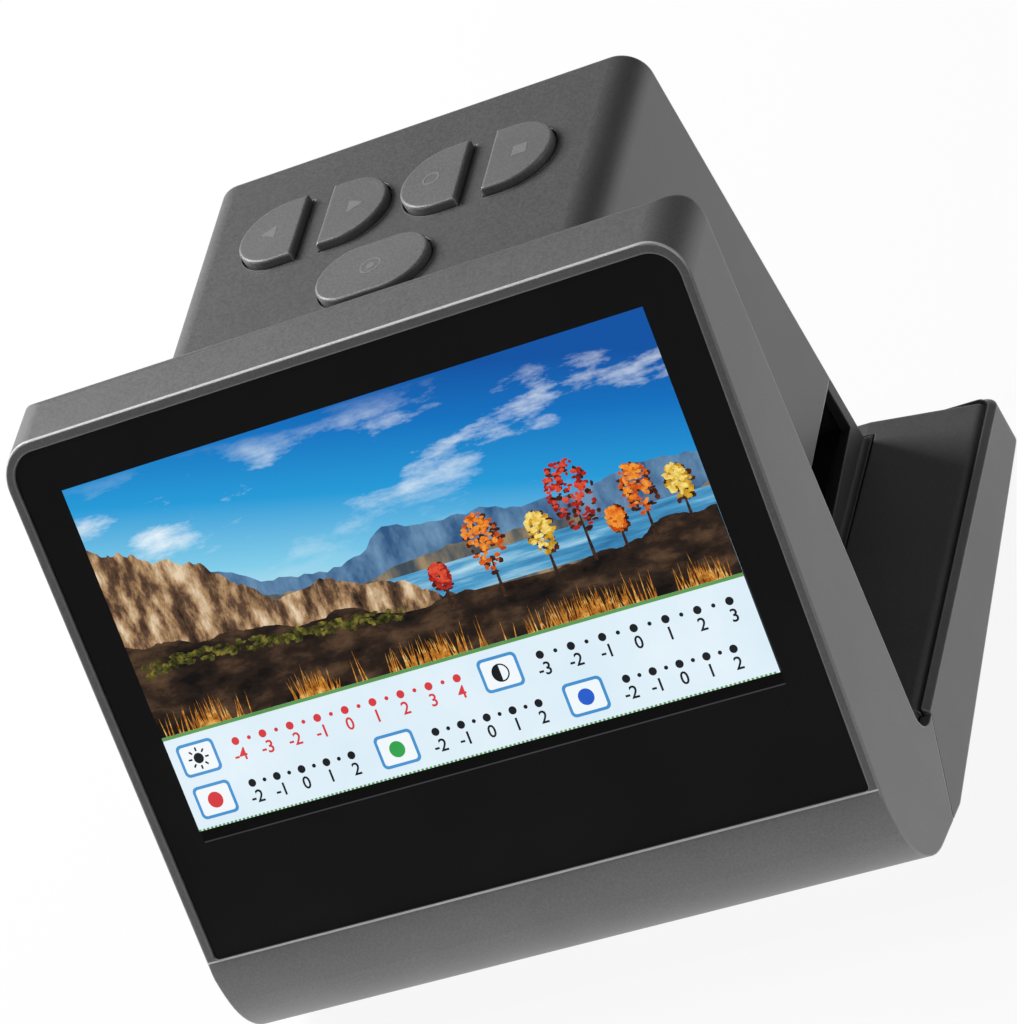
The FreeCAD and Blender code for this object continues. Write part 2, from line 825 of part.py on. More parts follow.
chamfer_edges(base_housing, "strip_width", "strip_rise", on_strip_top, flip=False)
floor_end = "(0 - floor_break_reach)"
base_hollow_side = [
    (f"0 - {beyond}", under_line(f"0 - {beyond}", "housing_wall")),
    (floor_end, under_line(floor_end, "housing_wall")),
    (floor_end, below),
    (beyond, below),
    (beyond, above),
    (f"0 - {beyond}", above),
]
subtract(base_housing, side_form("base_hollow", base_hollow_side, "base_wall", keep=False))
seat_drop = "(strip_rise - deck_thickness - deck_seat_gap)"
rebate_side = [
    (f"0 - {beyond}", edge_line(f"0 - {beyond}", seat_drop)),
    (beyond, edge_line(beyond, seat_drop)),
    (beyond, above),
    (f"0 - {beyond}", above),
]
subtract(base_housing, side_form("deck_rebate", rebate_side, "strip_width", keep=False))

boss_spots = [
    (f"{side}(boss_side_reach)", depth)
    for side in ("0 + ", "0 - ")
    for depth in ("(0 - boss_front_reach)", "boss_back_reach")
]
boss_top = f"({cover_top} + boss_height)"
rib_loops = []
for side in ("", "0 - "):
    for depth in ("(0 - boss_front_reach)", "boss_back_reach"):
        near, far = f"{side}boss_side_reach", f"{side}{side_at(depth, 'base_wall / 2')}"
        left, right = (near, far) if not side else (far, near)
        rib_front = f"{depth} - rib_thickness / 2"
        rib_loops.append(box_loop(left, rib_front, right, f"{depth} + rib_thickness / 2"))
extrude(base_housing, "z", cover_top, boss_top, rib_loops)
extrude(base_housing, "z", cover_top, boss_top, [("circle", x, y, "boss_radius") for x, y in boss_spots])
pilot = "(screw_shank_radius + thread_gap)"
boss_pilots = [("circle", x, y, pilot) for x, y in boss_spots]
carve(base_housing, "z", cover_top, f"{cover_top} + cover_screw_length", boss_pilots)

# Bottom cover with its feet and screws.

cover_side = box_loop("cover_gap - floor_break_reach", "foot_height", "half_depth", cover_top)
bottom_cover = side_form("bottom_cover", cover_side, "base_wall + cover_gap")
foot_spots = [
    (f"{side}(foot_side_reach)", depth)
    for side in ("0 + ", "0 - ")
    for depth in ("(0 - foot_front_reach)", "foot_back_reach")
]
foot_top = "(foot_height + foot_sink)"
head_top = "(foot_height + screw_head_height)"
carve(bottom_cover, "z", below, foot_top, [("circle", x, y, "foot_radius + foot_gap") for x, y in foot_spots])
head_seat = "screw_head_radius + screw_hole_gap"
carve(bottom_cover, "z", below, head_top, [("circle", x, y, head_seat) for x, y in boss_spots])
shank_seat = "screw_shank_radius + screw_hole_gap"
carve(bottom_cover, "z", below, above, [("circle", x, y, shank_seat) for x, y in boss_spots])

rubber_feet = new_body("rubber_feet")
extrude(rubber_feet, "z", "0", foot_top, [("circle", x, y, "foot_radius") for x, y in foot_spots])
round_edges(rubber_feet, "foot_edge_radius", lambda edge: lies_at(edge, z="0"))

cover_screws = new_body("cover_screws")
head_loops = [("circle", x, y, "screw_head_radius") for x, y in boss_spots]
extrude(cover_screws, "z", "foot_height", head_top, head_loops)
shank_top = f"({head_top} + cover_screw_length)"
shank_loops = [("circle", x, y, "screw_shank_radius") for x, y in boss_spots]
extrude(cover_screws, "z", head_top, shank_top, shank_loops)
slot_half = "(screw_slot_width / 2)"


def slot_loops(spots):
    """Slots across the screw heads."""
    return [
        box_loop(
            f"{x} - screw_head_radius",
            f"{y} - {slot_half}",
            f"{x} + screw_head_radius",
            f"{y} + {slot_half}",
        )
        for x, y in spots
    ]


carve(cover_screws, "z", "foot_height", "foot_height + screw_slot_depth", slot_loops(boss_spots))

# Wing deck: thin roof that falls to the back and to both sides.

deck_span = side_at("half_depth", "0")
deck_drop = f"(({deck_span} - column_half_width) * tan(deck_side_angle))"
deck_profile = [
    (f"0 - {deck_span}", f"0 - {deck_drop} - deck_thickness"),
    ("0 - column_half_width", "0 - deck_thickness"),
    ("column_half_width", "0 - deck_thickness"),
    (deck_span, f"0 - {deck_drop} - deck_thickness"),
    (deck_span, f"0 - {deck_drop}"),
    ("column_half_width", "0"),
    ("0 - column_half_width", "0"),
    (f"0 - {deck_span}", f"0 - {deck_drop}"),
]
wing_deck = new_body("wing_deck")
extrude(wing_deck, "fall", "0", "half_depth * 2 / cos(deck_fall_angle)", [deck_profile])
trim_sides(wing_deck, "strip_width + groove_width")
deck_back = "(half_depth - strip_width - groove_width)"
skirt_half = f"({side_at(deck_back, 'strip_width + groove_width')} - base_corner_radius)"
skirt_foot = f"({edge_line('half_depth', seat_drop)} + deck_seat_gap)"
skirt_crest = f"({deck_line(deck_back)} - deck_thickness / 2)"
skirt_edge = f"({skirt_crest} - ({skirt_half} - column_half_width) * tan(deck_side_angle))"
skirt = [
    (f"0 - {skirt_half}", skirt_foot),
    (skirt_half, skirt_foot),
    (skirt_half, skirt_edge),
    ("column_half_width", skirt_crest),
    ("0 - column_half_width", skirt_crest),
    (f"0 - {skirt_half}", skirt_edge),
]
extrude(wing_deck, "y", f"{deck_back} - deck_thickness", deck_back, [skirt])


def deck_back_edge(edge):
    """Whether an edge bounds the deck's top at the back."""
    for point in edge_points(edge):
        beside = max(abs(point.x) - value("column_half_width"), 0)
        slope = value("tan(deck_side_angle) / cos(deck_fall_angle)")
        height = value(deck_line(str(point.y))) - beside * slope
        if abs(point.y - value(deck_back)) > SIZES["pick_tolerance"]:
            return False
        if abs(point.z - height) > SIZES["pick_tolerance"]:
            return False
    return True


round_edges(wing_deck, "deck_edge_radius", deck_back_edge)
notch_inner = side_at(base_front, "housing_wall + seam_gap")
notches = [
    box_loop(notch_inner, f"0 - {beyond}", wide, base_front),
    box_loop(f"0 - {wide}", f"0 - {beyond}", f"0 - {notch_inner}", base_front),
]
carve(wing_deck, "z", below, above, notches)
clear_of_slab(wing_deck)
collar_reach = "(collar_width + collar_gap)"
collar_hole = plan_box(column_at, f"0 - {collar_reach}", f"(0 - {beyond})", f"(column_back + {collar_reach})")
carve(wing_deck, "z", below, above, [collar_hole])

# Column foot: walls below the film slot's ceiling, with a collar on the deck.

front_end = f"(0 - {beyond})"
column_foot = new_body("column_foot")
collar_loop = plan_box(column_at, "0 - collar_width", front_end, "(column_back + collar_width)")
extrude(column_foot, "z", cover_top, "slot_ceiling", [collar_loop])
over_deck = [
    (front_end, deck_line(front_end)),
    (beyond, deck_line(beyond)),
    (beyond, above),
    (front_end, above),
]
carve(column_foot, "x", f"0 - {wide}", wide, [over_deck])
column_loop = plan_box(column_at, "0", front_end, "column_back")
extrude(column_foot, "z", cover_top, "slot_ceiling", [column_loop])


def foot_edge(edge):
    """Whether an edge is the inner corner where column and collar meet."""
    reach = SIZES["pick_tolerance"]
    for point in edge_points(edge):
        if abs(point.z - value(deck_line(str(point.y)))) > reach:
            return False
        if abs(point.x) > value(column_at(str(point.y), "0")) + reach:
            return False
        if point.y > value("column_back") + reach:
            return False
    return not lies_at(edge, y=front_end)


round_edges(column_foot, "collar_radius", foot_edge)
hollow_loop = plan_box(column_at, "column_wall", front_end, "(column_back - column_wall)")
carve(column_foot, "z", below, above, [hollow_loop])
clear_of_slab(column_foot)
film_notch = box_loop("slot_front", "slot_floor", "slot_back", above)
carve(column_foot, "x", f"0 - {wide}", wide, [film_notch])
floor_clearance = box_loop(front_end, below, "cover_gap - floor_break_reach", "column_front_lift")
carve(column_foot, "x", f"0 - {wide}", wide, [floor_clearance])
io_hatch = box_loop("0 - io_hatch_half_width", below, "io_hatch_half_width", "io_hatch_height")
carve(column_foot, "y", "io_board_front", beyond, [io_hatch])

# Column housing: hood over the film gate that holds the camera and the keys.

column_ceiling = "(column_height - column_wall)"
column_housing = new_body("column_housing")
extrude(column_housing, "z", "slot_ceiling", "column_height", [column_loop])
round_edges(
    column_housing,
    "column_edge_radius",
    lambda edge: lies_at(edge, z="column_height") and runs_along(edge, "y"),
)
column_hollow = new_body("column_hollow", keep=False)
extrude(column_hollow, "z", below, column_ceiling, [hollow_loop])
round_edges(
    column_hollow,
    "column_edge_radius - column_wall",
    lambda edge: lies_at(edge, z=column_ceiling) and runs_along(edge, "y"),
)
subtract(column_housing, column_hollow)
clear_of_slab(column_housing)

# Keys: four with one flat side, in facing pairs, and a long one in front.


def round_key_loop(flat, away, grow):
    """Key outline with a flat side at one x and a half circle away from it."""
    sign = "+" if away else "-"
    back = "-" if away else "+"
    flat_x = f"({flat} {back} ({grow}))"
    turn_x = f"({flat} {sign} round_key_straight)"
    reach = f"(round_key_radius + ({grow}))"
    return [
        (flat_x, f"round_key_middle - {reach}"),
        (turn_x, f"round_key_middle - {reach}", "left" if away else "right", "x", turn_x),
        (turn_x, f"round_key_middle + {reach}"),
        (flat_x, f"round_key_middle + {reach}"),
    ]


def long_key_loop(grow):
    """Long key outline with two half circles."""
    radius = f"(long_key_half_width + ({grow}))"
    turn = "(long_key_half_length - long_key_half_width)"
    return [
        (f"0 - {turn}", f"long_key_middle - {radius}"),
        (turn, f"long_key_middle - {radius}", "left", "x", turn),
        (turn, f"long_key_middle + {radius}"),
        (f"0 - {turn}", f"long_key_middle + {radius}", "left", "x", f"0 - {turn}"),
    ]


KEYS = {
    "key_outer_left": lambda grow: round_key_loop("(0 - outer_key_reach)", False, grow),
    "key_inner_left": lambda grow: round_key_loop("(0 - inner_key_reach)", True, grow),
    "key_inner_right": lambda grow: round_key_loop("inner_key_reach", False, grow),
    "key_outer_right": lambda grow: round_key_loop("outer_key_reach", True, grow),
    "key_long_front": long_key_loop,
}
switch_spots = [
    ("0 - outer_key_reach - round_key_straight", "round_key_middle"),
    ("round_key_straight - inner_key_reach", "round_key_middle"),
    ("inner_key_reach - round_key_straight", "round_key_middle"),
    ("outer_key_reach + round_key_straight", "round_key_middle"),
    ("0", "long_key_middle"),
]
flange_top = f"({column_ceiling} - key_flange_gap)"
flange_foot = f"({flange_top} - key_flange_thickness)"
key_top = "(column_height + key_lift)"
plunger_top = f"({flange_foot} - key_travel - key_rest_gap)"
switch_top = f"({plunger_top} - plunger_height)"
key_board_top = f"({switch_top} - switch_height)"
for label, key_loop in KEYS.items():
    key = new_body(label)
    extrude(key, "z", flange_foot, key_top, [key_loop("0")])
    extrude(key, "z", flange_foot, flange_top, [key_loop("key_flange_width")])
    round_edges(key, "key_edge_radius", lambda edge: lies_at(edge, z=key_top))
    carve(column_housing, "z", column_ceiling, "column_height + trim_margin", [key_loop("key_gap")])

key_post_spots = [
    (f"{side}(key_post_reach)", depth)
    for side in ("0 + ", "0 - ")
    for depth in ("key_post_front", "key_post_back")
]
post_root = f"({column_ceiling} + column_wall / 2)"
key_posts = [("circle", x, y, "board_post_radius") for x, y in key_post_spots]
extrude(column_housing, "z", key_board_top, post_root, key_posts)
key_pilot_top = f"({key_board_top} + board_post_height)"
carve(column_housing, "z", key_board_top, key_pilot_top, [("circle", x, y, pilot) for x, y in key_post_spots])

key_board_foot = f"({key_board_top} - board_thickness)"
key_board = new_body("key_board")
extrude(
    key_board,
    "z",
    key_board_foot,
    key_board_top,
    [box_loop("0 - key_board_half_width", "key_board_front", "key_board_half_width", "key_board_back")],
)
key_board_holes = [("circle", x, y, shank_seat) for x, y in key_post_spots]
carve(key_board, "z", key_board_foot, key_board_top, key_board_holes)

key_switches = new_body("key_switches")
half_switch = "(switch_side / 2)"
switch_loops = [
    box_loop(f"{x} - {half_switch}", f"{y} - {half_switch}", f"{x} + {half_switch}", f"{y} + {half_switch}")
    for x, y in switch_spots
]
extrude(key_switches, "z", key_board_top, switch_top, switch_loops)
plunger_loops = [("circle", x, y, "plunger_radius") for x, y in switch_spots]
extrude(key_switches, "z", switch_top, plunger_top, plunger_loops)

# Display window, panel, frame, ribbon and main board, in the display frame.

display_window = new_body("display_window")
extrude(display_window, "z", window_back, "0 - window_recess", [window_loop("window_gap")])
place_on_face(display_window)

lcd_front = f"({window_back} - lcd_air_gap)"
lcd_back = f"({lcd_front} - lcd_thickness)"
lcd_panel = new_body("lcd_panel")
extrude(lcd_panel, "z", lcd_back, lcd_front, [lcd_loop("0")])
place_on_face(lcd_panel)

frame_front = f"(0 - {front_wall})"
frame_back = f"({lcd_back} - frame_floor)"
post_back = f"({frame_back} - board_post_height)"
board_head = "(main_board_foot + main_board_height)"
post_x = "(main_board_half_width - board_edge_inset)"
board_spots = [
    (f"{side}{post_x}", up)
    for side in ("0 + ", "0 - ")
    for up in ("(main_board_foot + board_edge_inset)", f"({board_head} - board_edge_inset)")
]
lcd_frame = new_body("lcd_frame")
extrude(lcd_frame, "z", frame_back, frame_front, [lcd_loop("frame_rim")])
carve(lcd_frame, "z", lcd_back, frame_front, [lcd_loop("lcd_fit_gap")])
frame_post_loops = [("circle", x, y, "board_post_radius") for x, y in board_spots]
extrude(lcd_frame, "z", post_back, frame_back, frame_post_loops)
carve(lcd_frame, "z", post_back, frame_back, [("circle", x, y, pilot) for x, y in board_spots])
ribbon_up = "(picture_middle - lcd_below + ribbon_rise)"
ribbon_slot_loop = box_loop(
    "0 - ribbon_half_width - ribbon_slot",
    f"{ribbon_up} - ribbon_slot",
    "ribbon_half_width + ribbon_slot",
    f"{ribbon_up} + ribbon_thickness + ribbon_slot",
)
carve(lcd_frame, "z", frame_back, lcd_back, [ribbon_slot_loop])
place_on_face(lcd_frame)

ribbon_back = f"({lcd_back} - ribbon_drop)"
ribbon_loop = [
    (ribbon_up, lcd_back),
    (ribbon_up, ribbon_back),
    (f"{ribbon_up} + ribbon_reach", ribbon_back),
    (f"{ribbon_up} + ribbon_reach", f"{ribbon_back} + ribbon_thickness"),
    (f"{ribbon_up} + ribbon_thickness", f"{ribbon_back} + ribbon_thickness"),
    (f"{ribbon_up} + ribbon_thickness", lcd_back),
]
lcd_ribbon = new_body("lcd_ribbon")
extrude(lcd_ribbon, "x", "0 - ribbon_half_width", "ribbon_half_width", [ribbon_loop])
place_on_face(lcd_ribbon)

board_back = f"({post_back} - board_thickness)"
main_board = new_body("main_board")
board_loop = box_loop("0 - main_board_half_width", "main_board_foot", "main_board_half_width", board_head)
extrude(main_board, "z", board_back, post_back, [board_loop])
chip_loops = []
for step in (-1, 0, 1):
    for up in ("main_board_foot + main_board_height / 3", "main_board_foot + main_board_height * 2 / 3"):
        chip_x = f"({step} * chip_pitch)"
        chip_loops.append(
            box_loop(
                f"{chip_x} - chip_side / 2",
                f"{up} - chip_side / 2",
                f"{chip_x} + chip_side / 2",
                f"{up} + chip_side / 2",
            )
        )
extrude(main_board, "z", f"{board_back} - chip_height", board_back, chip_loops)
carve(main_board, "z", board_back, post_back, [("circle", x, y, shank_seat) for x, y in board_spots])
place_on_face(main_board)

# Film gate: floor and ceiling plates of the tunnel, and the lamp below.

gate_back = "(column_back - column_wall - gate_gap)"
gate_loop = plan_box(column_at, "column_wall + gate_gap", "gate_front", gate_back)
floor_top = "(slot_floor - gate_step)"
floor_foot = f"({floor_top} - gate_thickness)"
ceiling_foot = "(slot_ceiling + gate_step)"
ceiling_top = f"({ceiling_foot} + gate_thickness)"


def middle_loop(half_width, half_depth, radius):
    """Round-cornered rectangle about the film's middle."""
    return rounded_loop(
        f"(0 - ({half_width}))",
        f"(film_middle - ({half_depth}))",
        f"({half_width})",
        f"(film_middle + ({half_depth}))",
        radius,
    )


aperture = middle_loop("aperture_half_width", "aperture_half_depth", "aperture_radius")
border_width = "aperture_half_width + diffuser_border"
border_depth = "aperture_half_depth + diffuser_border"
gate_floor = new_body("gate_floor")
extrude(gate_floor, "z", floor_foot, floor_top, [gate_loop])
carve(gate_floor, "z", floor_foot, floor_top, [aperture])
diffuser_top = f"({floor_foot} + diffuser_thickness)"
carve(gate_floor, "z", floor_foot, diffuser_top, [middle_loop(border_width, border_depth, "aperture_radius")])

diffuser = new_body("diffuser")
diffuser_loop = middle_loop(
    f"{border_width} - diffuser_gap", f"{border_depth} - diffuser_gap", "aperture_radius"
)
extrude(diffuser, "z", floor_foot, diffuser_top, [diffuser_loop])

led_board_top = f"({cover_top} + board_thickness)"
led_board = new_body("led_board")
led_board_loop = middle_loop(
    "light_box_half_width + led_board_border", "light_box_half_depth + led_board_border", "aperture_radius"
)
extrude(led_board, "z", cover_top, led_board_top, [led_board_loop])

light_box = new_body("light_box")
extrude(
    light_box,
    "z",
    led_board_top,
    floor_foot,
    [
        middle_loop("light_box_half_width", "light_box_half_depth", "aperture_radius + light_box_wall"),
        middle_loop(
            "light_box_half_width - light_box_wall", "light_box_half_depth - light_box_wall", "aperture_radius"
        ),
    ],
)

leds = new_body("leds")
led_loops = []
for column in (-2, -1, 0, 1, 2):
    for line in (-1, 0, 1):
        led_x = f"({column} * led_pitch)"
        led_y = f"(film_middle + {line} * led_pitch)"
        led_loops.append(
            box_loop(
                f"{led_x} - led_length / 2",
                f"{led_y} - led_width / 2",
                f"{led_x} + led_length / 2",
                f"{led_y} + led_width / 2",
            )
        )
extrude(leds, "z", led_board_top, f"{led_board_top} + led_height", led_loops)

gate_top = new_body("gate_top")
extrude(gate_top, "z", ceiling_foot, ceiling_top, [gate_loop])
carve(gate_top, "z", ceiling_foot, ceiling_top, [aperture])
spring_top = f"({ceiling_foot} + spring_bump)"
spring_seat = box_loop(
    "0 - spring_half_length - spring_gap",
    "spring_middle - spring_half_width - spring_gap",
    "spring_half_length + spring_gap",
    "spring_middle + spring_half_width + spring_gap",
)
carve(gate_top, "z", ceiling_foot, spring_top, [spring_seat])

holder_click_spring = new_body("holder_click_spring")
spring_foot = f"({spring_top} - spring_thickness)"
spring_loop = [
    ("0 - spring_half_length", spring_foot),
    ("0 - spring_bump_half_width", spring_foot),
    ("0", f"{spring_foot} - spring_bump"),
    ("spring_bump_half_width", spring_foot),
    ("spring_half_length", spring_foot),
    ("spring_half_length", spring_top),
    ("spring_bump_half_width", spring_top),
    ("0", f"{spring_top} - spring_bump"),
    ("0 - spring_bump_half_width", spring_top),
    ("0 - spring_half_length", spring_top),
]
extrude(
    holder_click_spring,
    "y",
    "spring_middle - spring_half_width",
    "spring_middle + spring_half_width",
    [spring_loop],
)

# Camera: bracket on the gate, lens hanging below it and sensor above.

plate_foot = "(sensor_level - bracket_plate)"
bracket_spots = [
    (
        f"{side}(sensor_board_half_width - bracket_post_radius)",
        f"film_middle {way} (sensor_board_half_depth - bracket_post_radius)",
    )
    for side in ("0 + ", "0 - ")
    for way in ("+", "-")
]
camera_plate = new_body("camera_plate")
plate_loop = middle_loop("sensor_board_half_width", "sensor_board_half_depth", "aperture_radius")
camera_window = ("circle", "0", "film_middle", "bracket_window")
extrude(camera_plate, "z", plate_foot, "sensor_level", [plate_loop, camera_window])

camera_posts = new_body("camera_posts")
post_loops = [("circle", x, y, "bracket_post_radius") for x, y in bracket_spots]
extrude(camera_posts, "z", ceiling_top, plate_foot, post_loops)

sensor_board = new_body("sensor_board")
extrude(sensor_board, "z", "sensor_level", "sensor_level + board_thickness", [plate_loop])

image_sensor = new_body("image_sensor")
sensor_loop = middle_loop("sensor_half_width", "sensor_half_depth", "sensor_radius")
extrude(image_sensor, "z", "sensor_level - sensor_height", "sensor_level", [sensor_loop])

holder_foot = f"({plate_foot} - holder_height)"
bore = ("circle", "0", "film_middle", "barrel_radius + barrel_gap")
lens_holder = new_body("lens_holder")
extrude(lens_holder, "z", holder_foot, plate_foot, [("circle", "0", "film_middle", "holder_radius")])
extrude(
    lens_holder,
    "z",
    f"{plate_foot} - holder_flange_height",
    plate_foot,
    [("circle", "0", "film_middle", "holder_flange_radius")],
)
carve(lens_holder, "z", holder_foot, plate_foot, [bore])

barrel_foot = f"({holder_foot} - barrel_drop)"
barrel_top = f"({barrel_foot} + barrel_height)"
glass_seat = f"({barrel_foot} + glass_lift)"
glass_seat_top = f"({glass_seat} + barrel_shoulder)"
barrel_bore = "(barrel_radius - barrel_wall)"
lens_barrel = new_body("lens_barrel")
extrude(lens_barrel, "z", barrel_foot, barrel_top, [("circle", "0", "film_middle", "barrel_radius")])
carve(lens_barrel, "z", barrel_foot, glass_seat, [("circle", "0", "film_middle", barrel_bore)])
carve(lens_barrel, "z", glass_seat_top, barrel_top, [("circle", "0", "film_middle", barrel_bore)])
shoulder_bore = ("circle", "0", "film_middle", f"{barrel_bore} - barrel_shoulder")
carve(lens_barrel, "z", glass_seat, glass_seat_top, [shoulder_bore])

lens_glass = new_body("lens_glass")
glass = ("circle", "0", "film_middle", f"{barrel_bore} - barrel_gap")
extrude(lens_glass, "z", f"{glass_seat} - glass_thickness", glass_seat, [glass])
extrude(lens_glass, "z", glass_seat_top, f"{glass_seat_top} + glass_thickness", [glass])
round_edges(
    lens_glass,
    "glass_edge_radius",
    lambda edge: lies_at(edge, z=f"{glass_seat} - glass_thickness")
    or lies_at(edge, z=f"{glass_seat_top} + glass_thickness"),
)

# Sockets on the back, soldered to a small board on the bottom cover.

io_board = new_body("io_board")
io_back = "(half_depth - base_wall - socket_gap)"
io_board_loop = box_loop("0 - io_board_half_width", "io_board_front", "io_board_half_width", io_back)
extrude(io_board, "z", cover_top, led_board_top, [io_board_loop])
socket_foot = led_board_top
socket_back = "(half_depth - socket_sink)"


def socket_loop(middle, width, height, radius, grow):
    """Socket outline standing on the board, grown by an amount."""
    return rounded_loop(
        f"({middle} - {width} / 2 - ({grow}))",
        f"({socket_foot} - ({grow}))",
        f"({middle} + {width} / 2 + ({grow}))",
        f"({socket_foot} + {height} + ({grow}))",
        f"({radius} + ({grow}))",
    )


SOCKETS = {
    "usb_socket": ("usb_middle", "usb_width", "usb_height", "usb_radius", "usb_depth"),
    "hdmi_socket": ("hdmi_middle", "hdmi_width", "hdmi_height", "hdmi_radius", "hdmi_depth"),
    "card_socket": ("card_middle", "card_width", "card_height", "card_radius", "card_depth"),
}
for label, (middle, width, height, radius, depth) in SOCKETS.items():
    socket = new_body(label)
    shell_loop = socket_loop(middle, width, height, radius, "0")
    extrude(socket, "y", f"{socket_back} - {depth}", socket_back, [shell_loop])
    inner_front = f"({socket_back} - {depth} + socket_end)"
    mouth_loop = socket_loop(middle, width, height, radius, "0 - socket_wall")
    carve(socket, "y", inner_front, socket_back, [mouth_loop])
    tongue = box_loop(
        f"{middle} - {width} * tongue_share",
        f"{socket_foot} + {height} / 2 - tongue_thickness / 2",
        f"{middle} + {width} * tongue_share",
        f"{socket_foot} + {height} / 2 + tongue_thickness / 2",
    )
    extrude(socket, "y", f"{inner_front} - socket_end / 2", f"{socket_back} - tongue_recess", [tongue])
    opening = socket_loop(middle, width, height, radius, "socket_gap")
    carve(base_housing, "y", "half_depth - base_wall - trim_margin", beyond, [opening])

# Screws of both boards: heads below the boards, slotted.


def board_screws_body(label, spots, foot, top):
    """Screws that go up through a board from foot to top."""
    body = new_body(label)
    head_foot = f"({foot} - screw_head_height)"
    extrude(body, "z", head_foot, foot, [("circle", x, y, "screw_head_radius") for x, y in spots])
    extrude(body, "z", foot, top, [("circle", x, y, "screw_shank_radius") for x, y in spots])
    carve(body, "z", head_foot, f"{head_foot} + screw_slot_depth", slot_loops(spots))
    return body


board_screws_body("key_board_screws", key_post_spots, key_board_foot, key_board_top + " + board_screw_grip")
main_screw_top = f"{post_back} + board_screw_grip"
main_board_screws = board_screws_body("main_board_screws", board_spots, board_back, main_screw_top)
place_on_face(main_board_screws)

# Check every object and write one file for each sub-part.

doc.recompute()
for item in doc.Objects:
    if "Invalid" in item.State or "Error" in item.State:
        raise RuntimeError(f"{item.Name} is in state {item.State}")
os.makedirs("parts", exist_ok=True)
for part in SUBPARTS:
    if part.Shape.isNull() or not part.Shape.isValid():
        raise RuntimeError(f"{part.Label} has no valid shape")
    part.Shape.exportStep(f"parts/{part.Label}.step")
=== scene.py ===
# %% [markdown]
# # A desktop film scanner
# A slab with a wide display leans back, a tall housing with five keys rises
# behind it, and a low base spreads its wings left and right. The solid parts
# come from CAD as a fixed frame. They could be drawn again in Blender, but they
# stay untouched here, so that both models share every size. This lesson gives
# them their finishes and adds what is too fine for CAD: the picture on the
# display and the signs on the keys.

# %% Load the frame
import math
import random

import bmesh
import bpy
from mathutils import Matrix, Vector


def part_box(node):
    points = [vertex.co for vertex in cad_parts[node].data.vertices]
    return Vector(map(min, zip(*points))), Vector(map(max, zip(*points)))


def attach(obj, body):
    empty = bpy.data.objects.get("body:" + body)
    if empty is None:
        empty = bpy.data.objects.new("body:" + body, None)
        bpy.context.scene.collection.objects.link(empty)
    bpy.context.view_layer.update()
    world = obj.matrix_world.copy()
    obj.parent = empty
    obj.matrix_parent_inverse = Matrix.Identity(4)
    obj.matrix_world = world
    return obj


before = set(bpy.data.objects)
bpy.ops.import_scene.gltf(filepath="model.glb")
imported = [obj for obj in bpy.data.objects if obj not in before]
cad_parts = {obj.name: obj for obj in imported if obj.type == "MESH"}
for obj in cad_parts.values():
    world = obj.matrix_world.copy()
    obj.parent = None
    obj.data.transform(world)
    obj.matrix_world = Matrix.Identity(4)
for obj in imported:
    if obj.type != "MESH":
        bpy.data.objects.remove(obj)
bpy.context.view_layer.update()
MM = 0.001

# %% [markdown]
# ## The camera
# The photograph was taken from in front, from the right and from above, with
# the camera rolled so that the scanner seems to tip over. A long lens keeps
# the edges almost parallel. A camera could be aimed by a Track To constraint,
# but that leaves no room for the roll. So the camera's own axes are built from
# three angles: how far it stands to the right, how far it looks down and how
# far it rolls.

# %% Camera
CAMERA_TURN = math.radians(28.93)
CAMERA_DROP = math.radians(31.4)
CAMERA_ROLL = math.radians(32.75)
# The foot of the display's face, and how far the camera sees it to the right, below and ahead.
FACE_FOOT = Vector((0.0, -59.6, 26.2)) * MM
CAMERA_OFFSET = Vector((3.967, 61.818, 741.618)) * MM
# The lens and the photograph's longer side, both in pixels.
LENS_PIXELS = 4446.07
PICTURE_HEIGHT = 1024
SENSOR_SIZE = 36


def camera_axes():
    """The camera's right, up and forward directions in the frame."""
    level = Vector((math.cos(CAMERA_TURN), math.sin(CAMERA_TURN), 0))
    forward = Vector((
        -math.sin(CAMERA_TURN) * math.cos(CAMERA_DROP),
        math.cos(CAMERA_TURN) * math.cos(CAMERA_DROP),
        -math.sin(CAMERA_DROP),
    ))
    upright = level.cross(forward)
    right = math.cos(CAMERA_ROLL) * level - math.sin(CAMERA_ROLL) * upright
    up = math.sin(CAMERA_ROLL) * level + math.cos(CAMERA_ROLL) * upright
    return right, up, forward


right, up, forward = camera_axes()
place = FACE_FOOT - CAMERA_OFFSET.x * right + CAMERA_OFFSET.y * up - CAMERA_OFFSET.z * forward
lens = bpy.data.cameras.new("photo_camera")
lens.sensor_width = SENSOR_SIZE
lens.lens = LENS_PIXELS * SENSOR_SIZE / PICTURE_HEIGHT
lens.clip_start = 0.01
camera = bpy.data.objects.new("photo_camera", lens)
turn = Matrix((right, up, -forward)).transposed()
camera.matrix_world = Matrix.Translation(place) @ turn.to_4x4()
bpy.context.scene.collection.objects.link(camera)
bpy.context.scene.camera = camera
print("camera stands at", [round(c, 3) for c in place], "with a lens of", round(lens.lens, 1))

# %% [markdown]
# ## Colours and nodes
# A colour is written as it looks on a screen, in sRGB hex, and the renderer
# wants linear light, so one function turns one into the other. Nodes could be
# placed and joined line by line, but a second small function adds any shader
# node, sets its values and joins its inputs, so that a material reads from top
# to bottom as a recipe.

# %% Helpers for materials


def light_of(hex_colour):
    """An sRGB hex colour as linear red, green, blue and alpha, by the formula of the sRGB standard."""
    parts = [int(hex_colour[i:i + 2], 16) / 255 for i in (1, 3, 5)]
    return tuple(c / 12.92 if c <= 0.04045 else ((c + 0.055) / 1.055) ** 2.4 for c in parts) + (1.0,)


